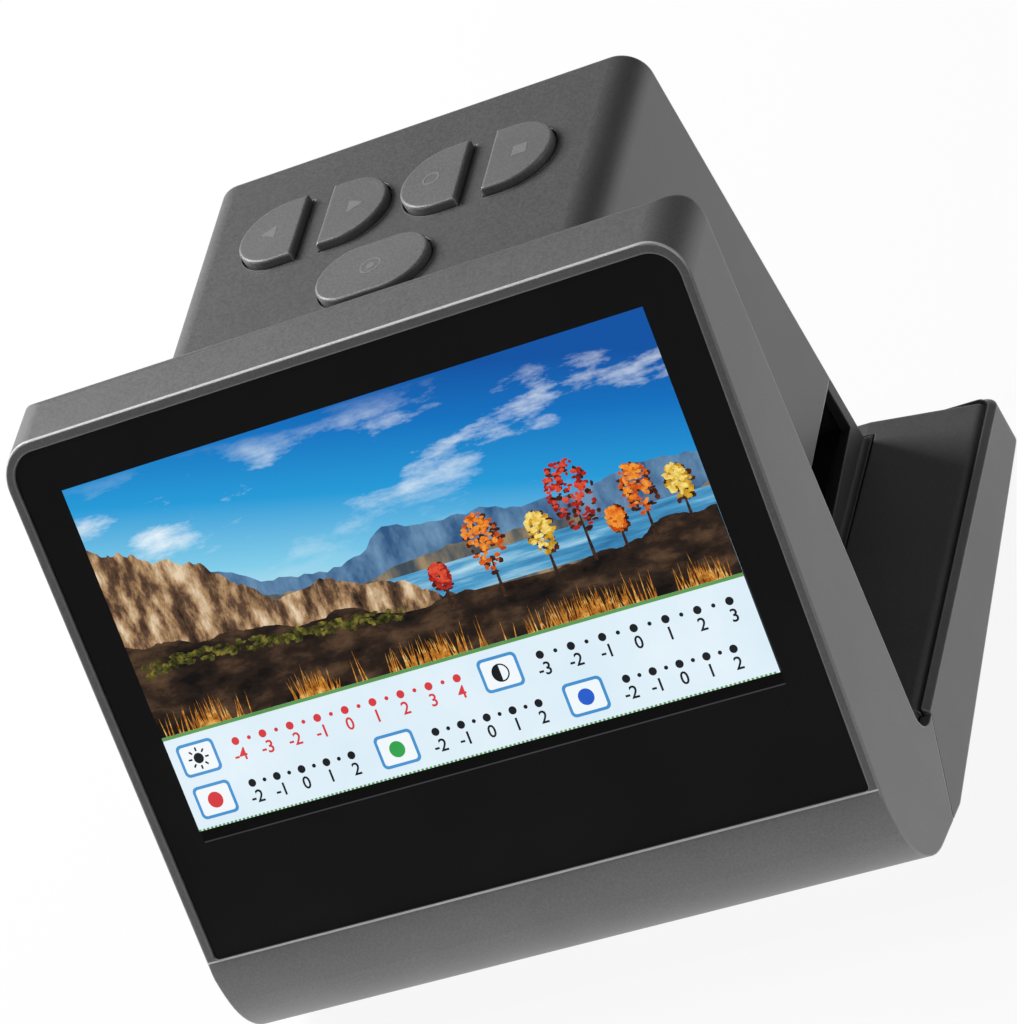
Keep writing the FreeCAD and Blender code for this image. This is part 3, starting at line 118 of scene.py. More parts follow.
def add(tree, kind, inputs=(), **settings):
    """Add a node, set its settings, and give its inputs a value or a link each."""
    made = tree.nodes.new("ShaderNode" + kind)
    for name, setting in settings.items():
        setattr(made, name, setting)
    for name, given in dict(inputs).items():
        if isinstance(given, bpy.types.NodeSocket):
            tree.links.new(given, made.inputs[name])
        else:
            made.inputs[name].default_value = given
    return made


def new_material(name):
    """An empty material, its tree, and the coordinates of the object in metres."""
    material = bpy.data.materials.new(name)
    material.use_nodes = True
    tree = material.node_tree
    tree.nodes.clear()
    return material, tree, add(tree, "TexCoord").outputs["Object"]


def finish_material(tree, shader):
    """Send the shader to the material's surface."""
    add(tree, "OutputMaterial", {"Surface": shader})


def colour_steps(tree, amount, steps):
    """Blend between hex colours at places from 0 to 1 along an amount."""
    ramp = add(tree, "ValToRGB", {"Fac": amount})
    elements = ramp.color_ramp.elements
    while len(elements) < len(steps):
        elements.new(0.5)
    for element, (place_on_ramp, hex_colour) in zip(elements, steps):
        element.position = place_on_ramp
        element.color = light_of(hex_colour)
    return ramp.outputs["Color"]


def share_within(tree, limits):
    """A share from 0 to 1 that is full where every value has gone from its start to its end."""
    share = 1.0
    for value, start, end in limits:
        gone = add(tree, "MapRange", {"Value": value, "From Min": start, "From Max": end})
        both = add(tree, "Math", {0: share, 1: gone.outputs["Result"]}, operation="MULTIPLY")
        share = both.outputs["Value"]
    return share


print("mid grey in linear light:", [round(c, 3) for c in light_of("#808080")])

# %% [markdown]
# ## Painted highlights on the slab's edges
# The rounded edge above the display and the thin rim below its window get bright
# lines of painted highlight, a light grey mixed into the slab's colour. Both are
# a fraction of a millimetre wide. They could be pieces of their own, but they
# belong to the moulded slab, so they are found by their place and direction: how
# deep a spot lies behind the face, how high it is up the slope, and how far its
# normal turns away and upward.

# %% Where the slab's rim gets a painted highlight
FACE_LEAN = math.radians(24.0)
OUTWARD = Vector((0, -math.cos(FACE_LEAN), math.sin(FACE_LEAN)))
UPSLOPE = Vector((0, math.sin(FACE_LEAN), math.cos(FACE_LEAN)))


def rim_highlight_share(tree, spot, normal):
    """Share of painted highlight on the rounded edge above the display and on the narrow rim below it."""
    from_foot = add(tree, "VectorMath", {0: spot, 1: FACE_FOOT}, operation="SUBTRACT").outputs["Vector"]
    depth, height, facing = (
        add(tree, "VectorMath", {0: what, 1: direction}, operation="DOT_PRODUCT").outputs["Value"]
        for what, direction in ((from_foot, OUTWARD), (from_foot, UPSLOPE), (normal, OUTWARD))
    )
    upward = add(tree, "SeparateXYZ", {"Vector": normal}).outputs["Z"]
    rounded_edge = share_within(tree, [
        (depth, -0.55 * MM, -0.3 * MM),
        (facing, 0.985, 0.9),
        (upward, 0.3, 0.6),
    ])
    lower_rim = share_within(tree, [
        (depth, -0.1 * MM, -0.03 * MM),
        (height, 0.3 * MM, 0.38 * MM),
        (height, 0.68 * MM, 0.6 * MM),
    ])
    return add(tree, "Math", {0: rounded_edge, 1: lower_rim}, operation="MAXIMUM").outputs["Value"]


print("the face leans back by", round(math.degrees(FACE_LEAN), 1), "degrees")

# %% [markdown]
# ## Moulded ABS
# The housings are injection moulded ABS. The steel mould is etched with a fine
# grain, so the plastic comes out matt with tiny pits. The slab is mid grey. The
# tall housing, the base and the wings' tops are the same plastic drawn a little
# darker, as painted shade, and the wings' tops are rougher. The foot of the tall
# housing is drawn nearly black, as painted shade, and the keys are the lightest.
# A picture of plastic could be wrapped around the parts, but it would show
# seams. Noise nodes work in the object's own millimetres, so all parts have the
# same grain. Sharp edges don't exist on moulded plastic, so a Bevel node bends
# the normals over half a millimetre, and the same bend marks the edges for a
# painted highlight in a lighter grey and for a lower roughness.

# %% ABS in its greys
# Real pits are about 0.15 mm across, finer than one pixel, so they are drawn three times as coarse.
ABS_GRAIN = 3 * 0.15 * MM
# Flow in the mould varies the tone by a little, over more than a centimetre.
ABS_FLOW = 14 * MM
# Of the tone, this share follows the grain and the rest the flow.
GRAIN_SHARE = 0.72
EDGE_SOFTNESS = 0.5 * MM
# How alike the bent and the true normal are where the painted edge highlight and the lower roughness start
# and where they are full.
EDGE_HIGHLIGHT_FROM, EDGE_HIGHLIGHT_FULLY = 0.995, 0.94
EDGE_ROUGHNESS = 0.28
ABS_IOR = 1.53


def moulded_abs(name, greys, roughness, grain_depth, edge_highlight_grey, rim_highlight_grey=None):
    """Matt moulded ABS: the etched grain breaks up the gloss, and the edges get a painted highlight and shine
    a little.
    """
    material, tree, spot = new_material(name)
    softened = add(tree, "Bevel", {"Radius": EDGE_SOFTNESS}, samples=6).outputs["Normal"]
    normal = add(tree, "NewGeometry").outputs["True Normal"]
    alike = add(tree, "VectorMath", {0: softened, 1: normal}, operation="DOT_PRODUCT").outputs["Value"]
    edge = add(tree, "MapRange", {"Value": alike, "From Min": EDGE_HIGHLIGHT_FROM, "From Max": EDGE_HIGHLIGHT_FULLY})
    edge = edge.outputs["Result"]
    flow = add(tree, "TexNoise", {"Vector": spot, "Scale": 1 / ABS_FLOW, "Detail": 3.0}).outputs["Fac"]
    grain = add(tree, "TexNoise", {"Vector": spot, "Scale": 1 / ABS_GRAIN, "Detail": 2.0}).outputs["Fac"]
    tone = add(tree, "Mix", {"Factor": GRAIN_SHARE, "A": flow, "B": grain}).outputs["Result"]
    colour = colour_steps(tree, tone, list(zip((0.36, 0.5, 0.64), greys)))
    # Painted highlight: a lighter grey is mixed in along the edges.
    painted_highlight = add(tree, "MixRGB", {"Fac": edge, "Color1": colour, "Color2": light_of(edge_highlight_grey)})
    # Painted highlight on the slab's rim: a light grey mixed in where the rim share is full.
    if rim_highlight_grey:
        painted_highlight = add(tree, "MixRGB", {
            "Fac": rim_highlight_share(tree, spot, normal),
            "Color1": painted_highlight.outputs["Color"],
            "Color2": light_of(rim_highlight_grey),
        })
    gloss = add(tree, "MapRange", {
        "Value": grain,
        "From Min": 0.3,
        "From Max": 0.7,
        "To Min": roughness - 0.05,
        "To Max": roughness + 0.07,
    })
    polish = add(tree, "Mix", {"Factor": edge, "A": gloss.outputs["Result"], "B": EDGE_ROUGHNESS})
    relief = add(tree, "Bump", {
        "Height": grain,
        "Strength": 0.35,
        "Distance": grain_depth,
        "Normal": softened,
    })
    shader = add(tree, "BsdfPrincipled", {
        "Base Color": painted_highlight.outputs["Color"],
        "Roughness": polish.outputs["Result"],
        "Normal": relief.outputs["Normal"],
        "IOR": ABS_IOR,
    })
    finish_material(tree, shader.outputs["BSDF"])
    return material


print("pits of the ABS are drawn", round(ABS_GRAIN / MM, 2), "mm across")

# %% Six ABS finishes
# The two greys around the middle one are what the grain and the flow may reach.
SLAB_GREYS = ("#616162", "#686869", "#6f6f70")
# The slab's plastic, drawn darker as painted shade, for the tall housing, the base and the wings' tops.
COLUMN_SHADED_GREYS = ("#525253", "#585859", "#5e5e5f")
# Nearly black as painted shade, for the foot of the tall housing below the slot.
FOOT_SHADED_GREYS = ("#2a2a2b", "#2f2f30", "#343435")
KEY_GREYS = ("#6c6c6d", "#747475", "#7c7c7d")
INNER_GREYS = ("#161617", "#1a1a1b", "#202021")
# The last grey of each finish is a painted highlight for its edges, and the slab has a second one for its
# rim.
abs_slab = moulded_abs("abs_moulded_slab", SLAB_GREYS, 0.45, 0.05 * MM, "#8e8e8f", "#dededf")
abs_column = moulded_abs("abs_moulded_column", COLUMN_SHADED_GREYS, 0.45, 0.06 * MM, "#a0a0a1")
abs_deck = moulded_abs("abs_moulded_deck", COLUMN_SHADED_GREYS, 0.50, 0.05 * MM, "#69696a")
abs_foot = moulded_abs("abs_moulded_foot", FOOT_SHADED_GREYS, 0.50, 0.05 * MM, "#4b4b4c")
abs_key = moulded_abs("abs_moulded_key", KEY_GREYS, 0.40, 0.04 * MM, "#c4c4c5")
abs_inner = moulded_abs("abs_moulded_inner_black", INNER_GREYS, 0.55, 0.04 * MM, "#29292a")
print("ABS finishes:", [m.name for m in (abs_slab, abs_column, abs_deck, abs_foot, abs_key, abs_inner)])

# %% [markdown]
# ## The window, the rubber and the metal
# The window over the display is clear acrylic, printed black from behind and
# polished in front, so it is a deep even black under a mirror gloss. It could
# be clear over a black sheet, but nothing shows through the ink, so one black
# glossy surface looks the same and renders cleaner. A very slow noise keeps the
# gloss from looking computed, as wiping does. The feet are soft rubber with a
# dusty, open skin. Screws and socket shells are nickel plated steel, drawn and
# rolled, with fine lines along the strip.

# %% Window, rubber and plated steel
WIPE_MARKS = 18 * MM
RUBBER_PORES = 0.6 * MM
# Rolling leaves lines about 0.02 mm apart. They are drawn six times as coarse, to show at all.
ROLLING_LINES = 6 * 0.02 * MM


def printed_acrylic():
    """Polished acrylic with black ink behind it: deep black under a sharp gloss."""
    material, tree, spot = new_material("acrylic_polished_black_print")
    wipe = add(tree, "TexNoise", {"Vector": spot, "Scale": 1 / WIPE_MARKS, "Detail": 4.0}).outputs["Fac"]
    gloss = add(tree, "MapRange", {"Value": wipe, "To Min": 0.09, "To Max": 0.16})
    shader = add(tree, "BsdfPrincipled", {
        "Base Color": colour_steps(tree, wipe, [(0.3, "#131315"), (0.7, "#18181a")]),
        "Roughness": gloss.outputs["Result"],
        "IOR": 1.49,
    })
    finish_material(tree, shader.outputs["BSDF"])
    return material


def soft_rubber():
    """Moulded rubber: open pores and a little dust make it dull and soft to the eye."""
    material, tree, spot = new_material("rubber_moulded")
    pores = add(tree, "TexVoronoi", {"Vector": spot, "Scale": 1 / RUBBER_PORES}).outputs["Distance"]
    relief = add(tree, "Bump", {"Height": pores, "Strength": 0.5, "Distance": 0.08 * MM})
    shader = add(tree, "BsdfPrincipled", {
        "Base Color": colour_steps(tree, pores, [(0.0, "#1c1c1c"), (0.8, "#2b2a29")]),
        "Roughness": 0.85,
        "Normal": relief.outputs["Normal"],
        "IOR": 1.52,
    })
    finish_material(tree, shader.outputs["BSDF"])
    return material


def plated_steel():
    """Rolled steel strip under nickel: warm bright metal with fine lines along it."""
    material, tree, spot = new_material("steel_nickel_plated")
    along = add(tree, "Mapping", {"Vector": spot, "Scale": (0.05, 1.0, 1.0)}).outputs["Vector"]
    lines = add(tree, "TexNoise", {"Vector": along, "Scale": 1 / ROLLING_LINES, "Detail": 2.0}).outputs["Fac"]
    gloss = add(tree, "MapRange", {"Value": lines, "To Min": 0.2, "To Max": 0.34})
    shader = add(tree, "BsdfPrincipled", {
        "Base Color": colour_steps(tree, lines, [(0.35, "#b9b7b2"), (0.65, "#cfcdc8")]),
        "Metallic": 1.0,
        "Roughness": gloss.outputs["Result"],
    })
    finish_material(tree, shader.outputs["BSDF"])
    return material


acrylic_window = printed_acrylic()
rubber_foot = soft_rubber()
steel_plated = plated_steel()
print("finishes made:", [m.name for m in (acrylic_window, rubber_foot, steel_plated)])

# %% [markdown]
# ## What sits inside
# Little of the inside shows, so one plain black would do for all of it. But it
# is finished as the real parts are, so that the model can be taken apart:
# green circuit board with the glass cloth showing through the lacquer, an amber
# polyimide ribbon, white polycarbonate in the lamp box and diffuser, yellow
# phosphor lamps, coated glass, and black anodised aluminium on the lens barrel.

# %% Boards and a plain uneven finish
GLASS_CLOTH = 0.5 * MM
# At scale 1 the bands of a wave node are about 0.3 apart.
WAVE_BAND = 0.3


def mottled(name, stops, grain, shader_inputs, relief_depth=0.0):
    """A finish whose colour follows a noise of a known grain size."""
    material, tree, spot = new_material(name)
    noise = add(tree, "TexNoise", {"Vector": spot, "Scale": 1 / grain, "Detail": 2.0}).outputs["Fac"]
    inputs = {"Base Color": colour_steps(tree, noise, stops), **shader_inputs}
    if relief_depth:
        relief = add(tree, "Bump", {"Height": noise, "Strength": 0.4, "Distance": relief_depth})
        inputs["Normal"] = relief.outputs["Normal"]
    shader = add(tree, "BsdfPrincipled", inputs)
    finish_material(tree, shader.outputs["BSDF"])
    return material


def circuit_board():
    """Woven glass laminate under green solder lacquer: a satin green with the cloth showing through."""
    material, tree, spot = new_material("glass_laminate_green_lacquer")
    weave = add(tree, "TexWave", {"Vector": spot, "Scale": WAVE_BAND / GLASS_CLOTH, "Distortion": 1.5})
    colour = colour_steps(tree, weave.outputs["Fac"], [(0.2, "#0f4a2c"), (0.8, "#15603a")])
    shader = add(tree, "BsdfPrincipled", {"Base Color": colour, "Roughness": 0.3, "IOR": 1.55})
    finish_material(tree, shader.outputs["BSDF"])
    return material


board_laminate = circuit_board()
# Cast film, so its amber varies slowly under an even gloss.
polyimide_ribbon = mottled(
    "polyimide_film_amber",
    [(0.3, "#8a4a12"), (0.7, "#a75d1a")],
    2 * MM,
    {"Roughness": 0.25, "IOR": 1.7},
)
# The mould is spark eroded, so the white is satin, with a grain of half a millimetre.
polycarbonate_white = mottled(
    "polycarbonate_moulded_white",
    [(0.3, "#e4e4e0"), (0.7, "#efefec")],
    0.5 * MM,
    {"Roughness": 0.45, "IOR": 1.58},
    0.03 * MM,
)
# Phosphor grains in silicone give a mottled yellow.
lamp_phosphor = mottled(
    "silicone_phosphor_yellow",
    [(0.3, "#d8c545"), (0.7, "#efe07a")],
    0.3 * MM,
    {"Roughness": 0.4, "IOR": 1.41},
)
print("boards, ribbon, lamp box and lamps:", len(bpy.data.materials), "materials so far")

# %% Lens, sensor, switches and panel back
TURNING_LINES = 0.2 * MM
# Ground and polished glass, whose coating throws back a dark violet.
lens_glass = mottled(
    "optical_glass_coated",
    [(0.3, "#0c1030"), (0.7, "#1d1440")],
    9 * MM,
    {"Roughness": 0.04, "IOR": 1.6},
)
# Turned, then anodised: nearly black, with a soft metal sheen and the marks of the tool.
barrel_anodised = mottled(
    "aluminium_turned_black_anodised",
    [(0.3, "#151516"), (0.7, "#222224")],
    TURNING_LINES,
    {"Roughness": 0.38, "Metallic": 0.7},
    0.02 * MM,
)
# Moulded nylon is a dull black with a fine grain.
switch_nylon = mottled(
    "nylon_moulded_black",
    [(0.3, "#1b1b1d"), (0.7, "#262628")],
    0.4 * MM,
    {"Roughness": 0.5, "IOR": 1.53},
    0.03 * MM,
)
# An etched die under its cover glass shimmers between blue and violet.
sensor_silicon = mottled(
    "silicon_die_under_glass",
    [(0.3, "#2b2f3f"), (0.7, "#403a55")],
    1.5 * MM,
    {"Roughness": 0.12, "IOR": 1.5},
)
# Rolled sheet, so the panel's back is a soft bright grey.
panel_back = mottled(
    "aluminium_rolled_panel_back",
    [(0.35, "#8d9094"), (0.65, "#9da0a3")],
    0.8 * MM,
    {"Roughness": 0.45, "Metallic": 1.0},
)
print("inner finishes made:", len(bpy.data.materials), "materials so far")

# %% [markdown]
# ## Each node gets its finish
# The CAD nodes keep their shapes, and only their material slots change. Each
# node could be dressed by a line of its own, but a list that pairs each finish
# with the nodes made that way is shorter to read, and a last check tells
# whether any node was forgotten.

# %% Finishes on the CAD nodes
FINISHES = [
    (abs_slab, ["display_housing", "display_back"]),
    (abs_column, ["column_housing", "base_housing", "bottom_cover"]),
    (abs_deck, ["wing_deck"]),
    (abs_foot, ["column_foot"]),
    (abs_key, ["key_outer_left", "key_inner_left", "key_inner_right", "key_outer_right", "key_long_front"]),
    (abs_inner, ["gate_floor", "gate_top", "lens_holder", "camera_plate", "camera_posts", "lcd_frame"]),
    (acrylic_window, ["display_window"]),
    (rubber_foot, ["rubber_feet"]),
    (steel_plated, [
        "cover_screws", "main_board_screws", "key_board_screws",
        "usb_socket", "hdmi_socket", "card_socket", "holder_click_spring",
    ]),
    (board_laminate, ["main_board", "key_board", "io_board", "led_board", "sensor_board"]),
    (polyimide_ribbon, ["lcd_ribbon"]),
    (polycarbonate_white, ["diffuser", "light_box"]),
    (lamp_phosphor, ["leds"]),
    (lens_glass, ["lens_glass"]),
    (barrel_anodised, ["lens_barrel"]),
    (switch_nylon, ["key_switches"]),
    (sensor_silicon, ["image_sensor"]),
    (panel_back, ["lcd_panel"]),
]
finished = set()
for finish, names in FINISHES:
    for name in names:
        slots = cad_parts[name].data.materials
        slots.clear()
        slots.append(finish)
        finished.add(name)
print("nodes without a finish:", sorted(set(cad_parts) - finished))

# %% [markdown]
# ## The picture on the display
# The display shows a landscape of its own: layered ridges, a lake shore with
# trees in autumn colours and dry grass in front. It could be one flat plate
# with a painted picture, but a picture has a fixed fineness. So it is built
# like a paper theatre. Each layer is a thin plate cut to an outline, and the
# next one lies on it, three hundredths of a millimetre higher. All of them
# share one frame with its X axis to the right, its Y axis up the slope and its
# Z axis out of the window, so an outline is drawn in plain millimetres.

# %% A frame on the display and a helper for thin plates
# Millimetres in the display's frame: the window lies a little below the slab's face.
WINDOW_FRONT = -0.6
LAYER = 0.03
PICTURE_LEFT = -55.63
PICTURE_RIGHT = 55.07
PICTURE_FOOT = 23.5
PICTURE_HEAD = 86.9

display_frame = Matrix.Translation(FACE_FOOT) @ Matrix.Rotation(math.pi / 2 - FACE_LEAN, 4, "X")


def new_piece(name, mesh, material, matrix, body):
    """Put a mesh into the scene with its finish and let it ride on a body."""
    mesh.materials.append(material)
    piece = bpy.data.objects.new(name, mesh)
    piece.matrix_world = matrix
    bpy.context.scene.collection.objects.link(piece)
    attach(piece, body)
    return piece


def plates_mesh(name, outlines, low, high):
    """A mesh of thin plates: each outline, in millimetres, raised from low to high."""
    work = bmesh.new()
    for outline in outlines:
        ring = [work.verts.new((x * MM, y * MM, low * MM)) for x, y in outline]
        top = [work.verts.new((x * MM, y * MM, high * MM)) for x, y in outline]
        work.faces.new(top)
        work.faces.new(ring[::-1])
        for i, corner in enumerate(ring):
            following = (i + 1) % len(ring)
            work.faces.new((corner, ring[following], top[following], top[i]))
    bmesh.ops.triangulate(work, faces=[f for f in work.faces if len(f.verts) > 4])
    bmesh.ops.recalc_face_normals(work, faces=work.faces)
    mesh = bpy.data.meshes.new(name)
    work.to_mesh(mesh)
    work.free()
    return mesh


def on_display(name, outlines, layer, material):
    """Thin plates that lie on the window, a given number of layers up."""
    low = WINDOW_FRONT + layer * LAYER
    mesh = plates_mesh(name, outlines, low, low + LAYER)
    piece = new_piece(name, mesh, material, display_frame, "scanner_body")
    return piece


def rectangle(left, foot, right, head):
    """The corners of an upright rectangle."""
    return [(left, foot), (right, foot), (right, head), (left, head)]


print("picture:", round(PICTURE_RIGHT - PICTURE_LEFT, 1), "by", round(PICTURE_HEAD - PICTURE_FOOT, 1), "mm")

# %% [markdown]
# ## Lit colours
# The light of a display comes from the panel behind, so the colour of a layer
# is sent to the emission socket, while the surface in front stays the polished
# window. Each colour changes with its place: a blend up the slope for the sky,
# and noise at a chosen size for rock, leaves and grass. Flat colours would be
# simpler, but the layers would look like cut card. A display has pixels, about
# 0.138 mm apart here, which are too fine to see, so no grid is drawn.

# %% A lit surface
ACRYLIC_IOR = 1.49
LIT_ROUGHNESS = 0.12


def noise_at(tree, spot, grain, stretch):
    """Rough noise of a grain size in millimetres, squeezed or stretched along X and Y."""
    placed = add(tree, "Mapping", {"Vector": spot, "Scale": stretch})
    return add(tree, "TexNoise", {
        "Vector": placed.outputs["Vector"],
        "Scale": 1 / (grain * MM),
        "Detail": 7.0,
        "Roughness": 0.62,
    }).outputs["Fac"]


def lit_surface(tree, colour):
    """The glossy window with a lit colour behind it."""
    shader = add(tree, "BsdfPrincipled", {
        "Base Color": light_of("#050505"),
        "Roughness": LIT_ROUGHNESS,
        "IOR": ACRYLIC_IOR,
        "Emission Color": colour,
        "Emission Strength": 1.0,
    })
    finish_material(tree, shader.outputs["BSDF"])


def lit_layer(name, steps, grain, stretch=(1, 1, 1)):
    """A lit colour from steps along a noise of one grain size."""
    material, tree, spot = new_material(name)
    lit_surface(tree, colour_steps(tree, noise_at(tree, spot, grain, stretch), steps))
    return material


# %% Sky
SKY_TILT = 0.22
SKY_REACH = (50 * MM, 92 * MM)
SKY_BLUES = [(0.0, "#d3edf5"), (0.22, "#7fcbe8"), (0.5, "#2399d6"), (0.78, "#0c70be"), (1.0, "#0a52a2")]
CLOUD_SIZE = 9
CLOUD_STRETCH = (0.32, 1, 1)


def lit_air():
    """Blue that deepens to the upper right, with soft flat clouds in one band of it."""
    material, tree, spot = new_material("lit_sky")
    parts = add(tree, "SeparateXYZ", {"Vector": spot}).outputs
    tilt = add(tree, "Math", {0: parts["X"], 1: SKY_TILT, 2: parts["Y"]}, operation="MULTIPLY_ADD")
    height = share_within(tree, [(tilt.outputs["Value"], *SKY_REACH)])
    cloudiness = share_within(tree, [
        (parts["Y"], 60 * MM, 74 * MM),
        (parts["Y"], 87 * MM, 80 * MM),
        (noise_at(tree, spot, CLOUD_SIZE, CLOUD_STRETCH), 0.53, 0.70),
    ])
    cloudy = add(tree, "MixRGB", {
        "Fac": cloudiness,
        "Color1": colour_steps(tree, height, SKY_BLUES),
        "Color2": light_of("#eef7fc"),
    })
    lit_surface(tree, cloudy.outputs["Color"])
    return material


lit_sky = lit_air()
print("steps of blue in the sky:", len(SKY_BLUES))

# %% Rock, water and plants
# The last two values are the grain in millimetres and its stretch along X and Y.
lit_far_ridge = lit_layer("lit_far_ridge", [(0.38, "#2f5580"), (0.62, "#6c93b4")], 6, (1, 0.5, 1))
lit_mid_ridge = lit_layer(
    "lit_mid_ridge",
    [(0.36, "#3c4a55"), (0.5, "#6a675f"), (0.64, "#9a8568")],
    4,
    (1, 0.4, 1),
)
lit_rock = lit_layer(
    "lit_sandstone",
    [(0.36, "#221712"), (0.46, "#5f4634"), (0.54, "#a98660"), (0.66, "#e6cfae")],
    3.4,
    (1, 0.42, 1),
)
lit_ground = lit_layer(
    "lit_dark_ground",
    [(0.36, "#0c0908"), (0.5, "#2c1f17"), (0.66, "#5a4330")],
    5,
    (0.5, 1, 1),
)
lit_lake = lit_layer(
    "lit_lake",
    [(0.34, "#1a5a8f"), (0.52, "#4c9ac6"), (0.7, "#b4dceb")],
    4,
    (0.15, 1.6, 1),
)
lit_shrub = lit_layer("lit_shrubs", [(0.36, "#1d210d"), (0.52, "#4c4c1d"), (0.68, "#8c7f35")], 1.2)
lit_leaf_shadow = lit_layer("lit_leaf_shadow", [(0.36, "#2a1209"), (0.64, "#5a2a12")], 1.0)
lit_bark = lit_layer("lit_bark", [(0.35, "#1c120d"), (0.65, "#4a3022")], 0.8)
lit_grass = lit_layer("lit_dry_grass", [(0.35, "#7a4415"), (0.52, "#c47e2c"), (0.68, "#f0c271")], 1.5)
LEAVES = {
    "orange": ("#a8380f", "#d9651a", "#f0a03c"),
    "red": ("#7d1412", "#b82a22", "#e0583a"),
    "yellow": ("#a87a12", "#dcae34", "#f8e48a"),
}
lit_leaves = {}
for shade, (dark, middle, bright) in LEAVES.items():
    lit_leaves[shade] = (
        lit_leaf_shadow,
        lit_layer(f"lit_{shade}_leaves", [(0.36, dark), (0.62, middle)], 0.9),
        lit_layer(f"lit_{shade}_leaves_in_sun", [(0.36, middle), (0.62, bright)], 0.7),
    )
print("lit materials:", len([m for m in bpy.data.materials if m.name.startswith("lit_")]))

# %% [markdown]
# ## Ridges
# A mountain ridge is a line whose height wanders. It could be drawn point by
# point, but halving does it with a few: the middle of each stretch moves up or
# down by a random share of its length, and the halves are split in turn. One
# seeded random source per layer gives the same ridge in every run.

# %% Layers of the landscape


def wandering(heights, times, share, chance):
    """Split a line of (x, y) points again and again, moving each new middle up or down."""
    for _ in range(times):
        finer = [heights[0]]
        for (x0, y0), (x1, y1) in zip(heights, heights[1:]):
            shift = chance.uniform(-share, share) * (x1 - x0)
            finer += [((x0 + x1) / 2, (y0 + y1) / 2 + shift), (x1, y1)]
        heights = finer
    return heights


def ridge(heights, times, share, seed, foot):
    """The outline of a ridge over a level foot."""
    line = wandering(heights, times, share, random.Random(seed))
    line = [(x, min(y, PICTURE_HEAD)) for x, y in line]
    return [(line[0][0], foot)] + [(line[-1][0], foot)] + line[::-1]


BAR_HEAD = 41.0
LEFT, RIGHT = PICTURE_LEFT, PICTURE_RIGHT
LAKE_FOOT, LAKE_HEAD = 50.5, 56.2
FAR_LINE = [(LEFT, 62), (-38, 66), (-20, 61), (2, 64), (24, 60.5), (RIGHT, 62)]
MIDDLE_LINE = [(LEFT, 63.5), (-44, 60), (-24, 59), (-4, 57.6), (20, 58.4), (RIGHT, 57)]
CLIFF_LINE = [
    (LEFT, 76), (-50, 74), (-45, 70.5), (-38, 69), (-30, 62.5), (-19, 58), (-8, 55), (2, 52.5), (9, 50),
]
GROUND_LINE = [(LEFT, 58), (-40, 55), (-22, 53), (0, 50), (18, 48.4), (36, 50.5), (RIGHT, 53)]
# From the back to the front, so a piece's place in the list is its layer.
landscape = [
    ("sky", lit_sky, rectangle(LEFT, BAR_HEAD, RIGHT, PICTURE_HEAD)),
    ("far_ridge", lit_far_ridge, ridge(FAR_LINE, 4, 0.16, 3, BAR_HEAD)),
    ("middle_ridge", lit_mid_ridge, ridge(MIDDLE_LINE, 4, 0.12, 8, BAR_HEAD)),
    ("lake", lit_lake, rectangle(LEFT, LAKE_FOOT, RIGHT, LAKE_HEAD)),
    ("cliff", lit_rock, ridge(CLIFF_LINE, 4, 0.3, 21, BAR_HEAD)),
    ("ground", lit_ground, ridge(GROUND_LINE, 5, 0.1, 5, BAR_HEAD)),
]
for layer, (name, finish, outline) in enumerate(landscape):
    on_display(f"screen_{name}", [outline], layer, finish)
print("layers of the landscape:", len(landscape))

# %% [markdown]
# ## Trees, shrubs and grass
# A tree crown is a crowd of small ragged clumps in three layers: shaded leaves
# at the back, then the leaf colour, then fewer and lighter clumps towards the
# sun. One round outline per tree would be enough at this size, but it looks
# like a lollipop. Shrubs are the same clumps along the foot of the cliff, and
# grass is a crowd of narrow triangles.

# %% Outlines of clumps, trunks and blades
CLUMP_LOBES = 5
LOBE_POINTS = 4
LOBE_SIZES = (0.82, 1.1)
# How much wider the egg of a crown is below than above its middle.
EGG_SHARE = 0.18


def clump(x, y, width, height, chance):
    """A leafy outline: an ellipse with lobes of random size."""
    sizes = [chance.uniform(*LOBE_SIZES) for _ in range(CLUMP_LOBES)]
    outline = []
    for i in range(CLUMP_LOBES * LOBE_POINTS):
        turn = 2 * math.pi * i / (CLUMP_LOBES * LOBE_POINTS)
        reach = sizes[i // LOBE_POINTS] * (1 + 0.1 * math.sin(CLUMP_LOBES * turn))
        outline.append((x + width / 2 * reach * math.cos(turn), y + height / 2 * reach * math.sin(turn)))
    return outline


def scattered(x, y, width, height, count, chance):
    """Random spots in an egg shape that is wider below."""
    spots = []
    for _ in range(count):
        turn = chance.uniform(0, 2 * math.pi)
        reach = math.sqrt(chance.random()) * (1 - EGG_SHARE * math.sin(turn))
        spots.append((x + width / 2 * reach * math.cos(turn), y + height / 2 * reach * math.sin(turn)))
    return spots


def trunk(x, foot, head, thick=0.35, thin=0.12):
    """A trunk that tapers from its foot to its head."""
    return [(x - thick, foot), (x + thick, foot), (x + thin, head), (x - thin, head)]


def blade(x, y, height, lean, half=0.13):
    """One blade of grass."""
    return [(x - half, y), (x + half, y), (x + lean, y + height)]


print("points around a clump:", CLUMP_LOBES * LOBE_POINTS)

# %% Plants of the landscape
# Each tree: where it stands, how wide and high its crown is, and its leaf colour.
TREES = [
    (14.5, 50.0, 6.6, 10.5, "orange"),
    (24.6, 51.0, 5.0, 7.6, "yellow"),
    (32.0, 51.6, 8.4, 13.0, "red"),
    (43.4, 52.4, 6.0, 9.2, "orange"),
    (50.4, 53.2, 4.6, 6.6, "yellow"),
    (4.8, 50.6, 3.6, 5.0, "red"),
    (38.0, 51.8, 3.4, 4.6, "orange"),
]
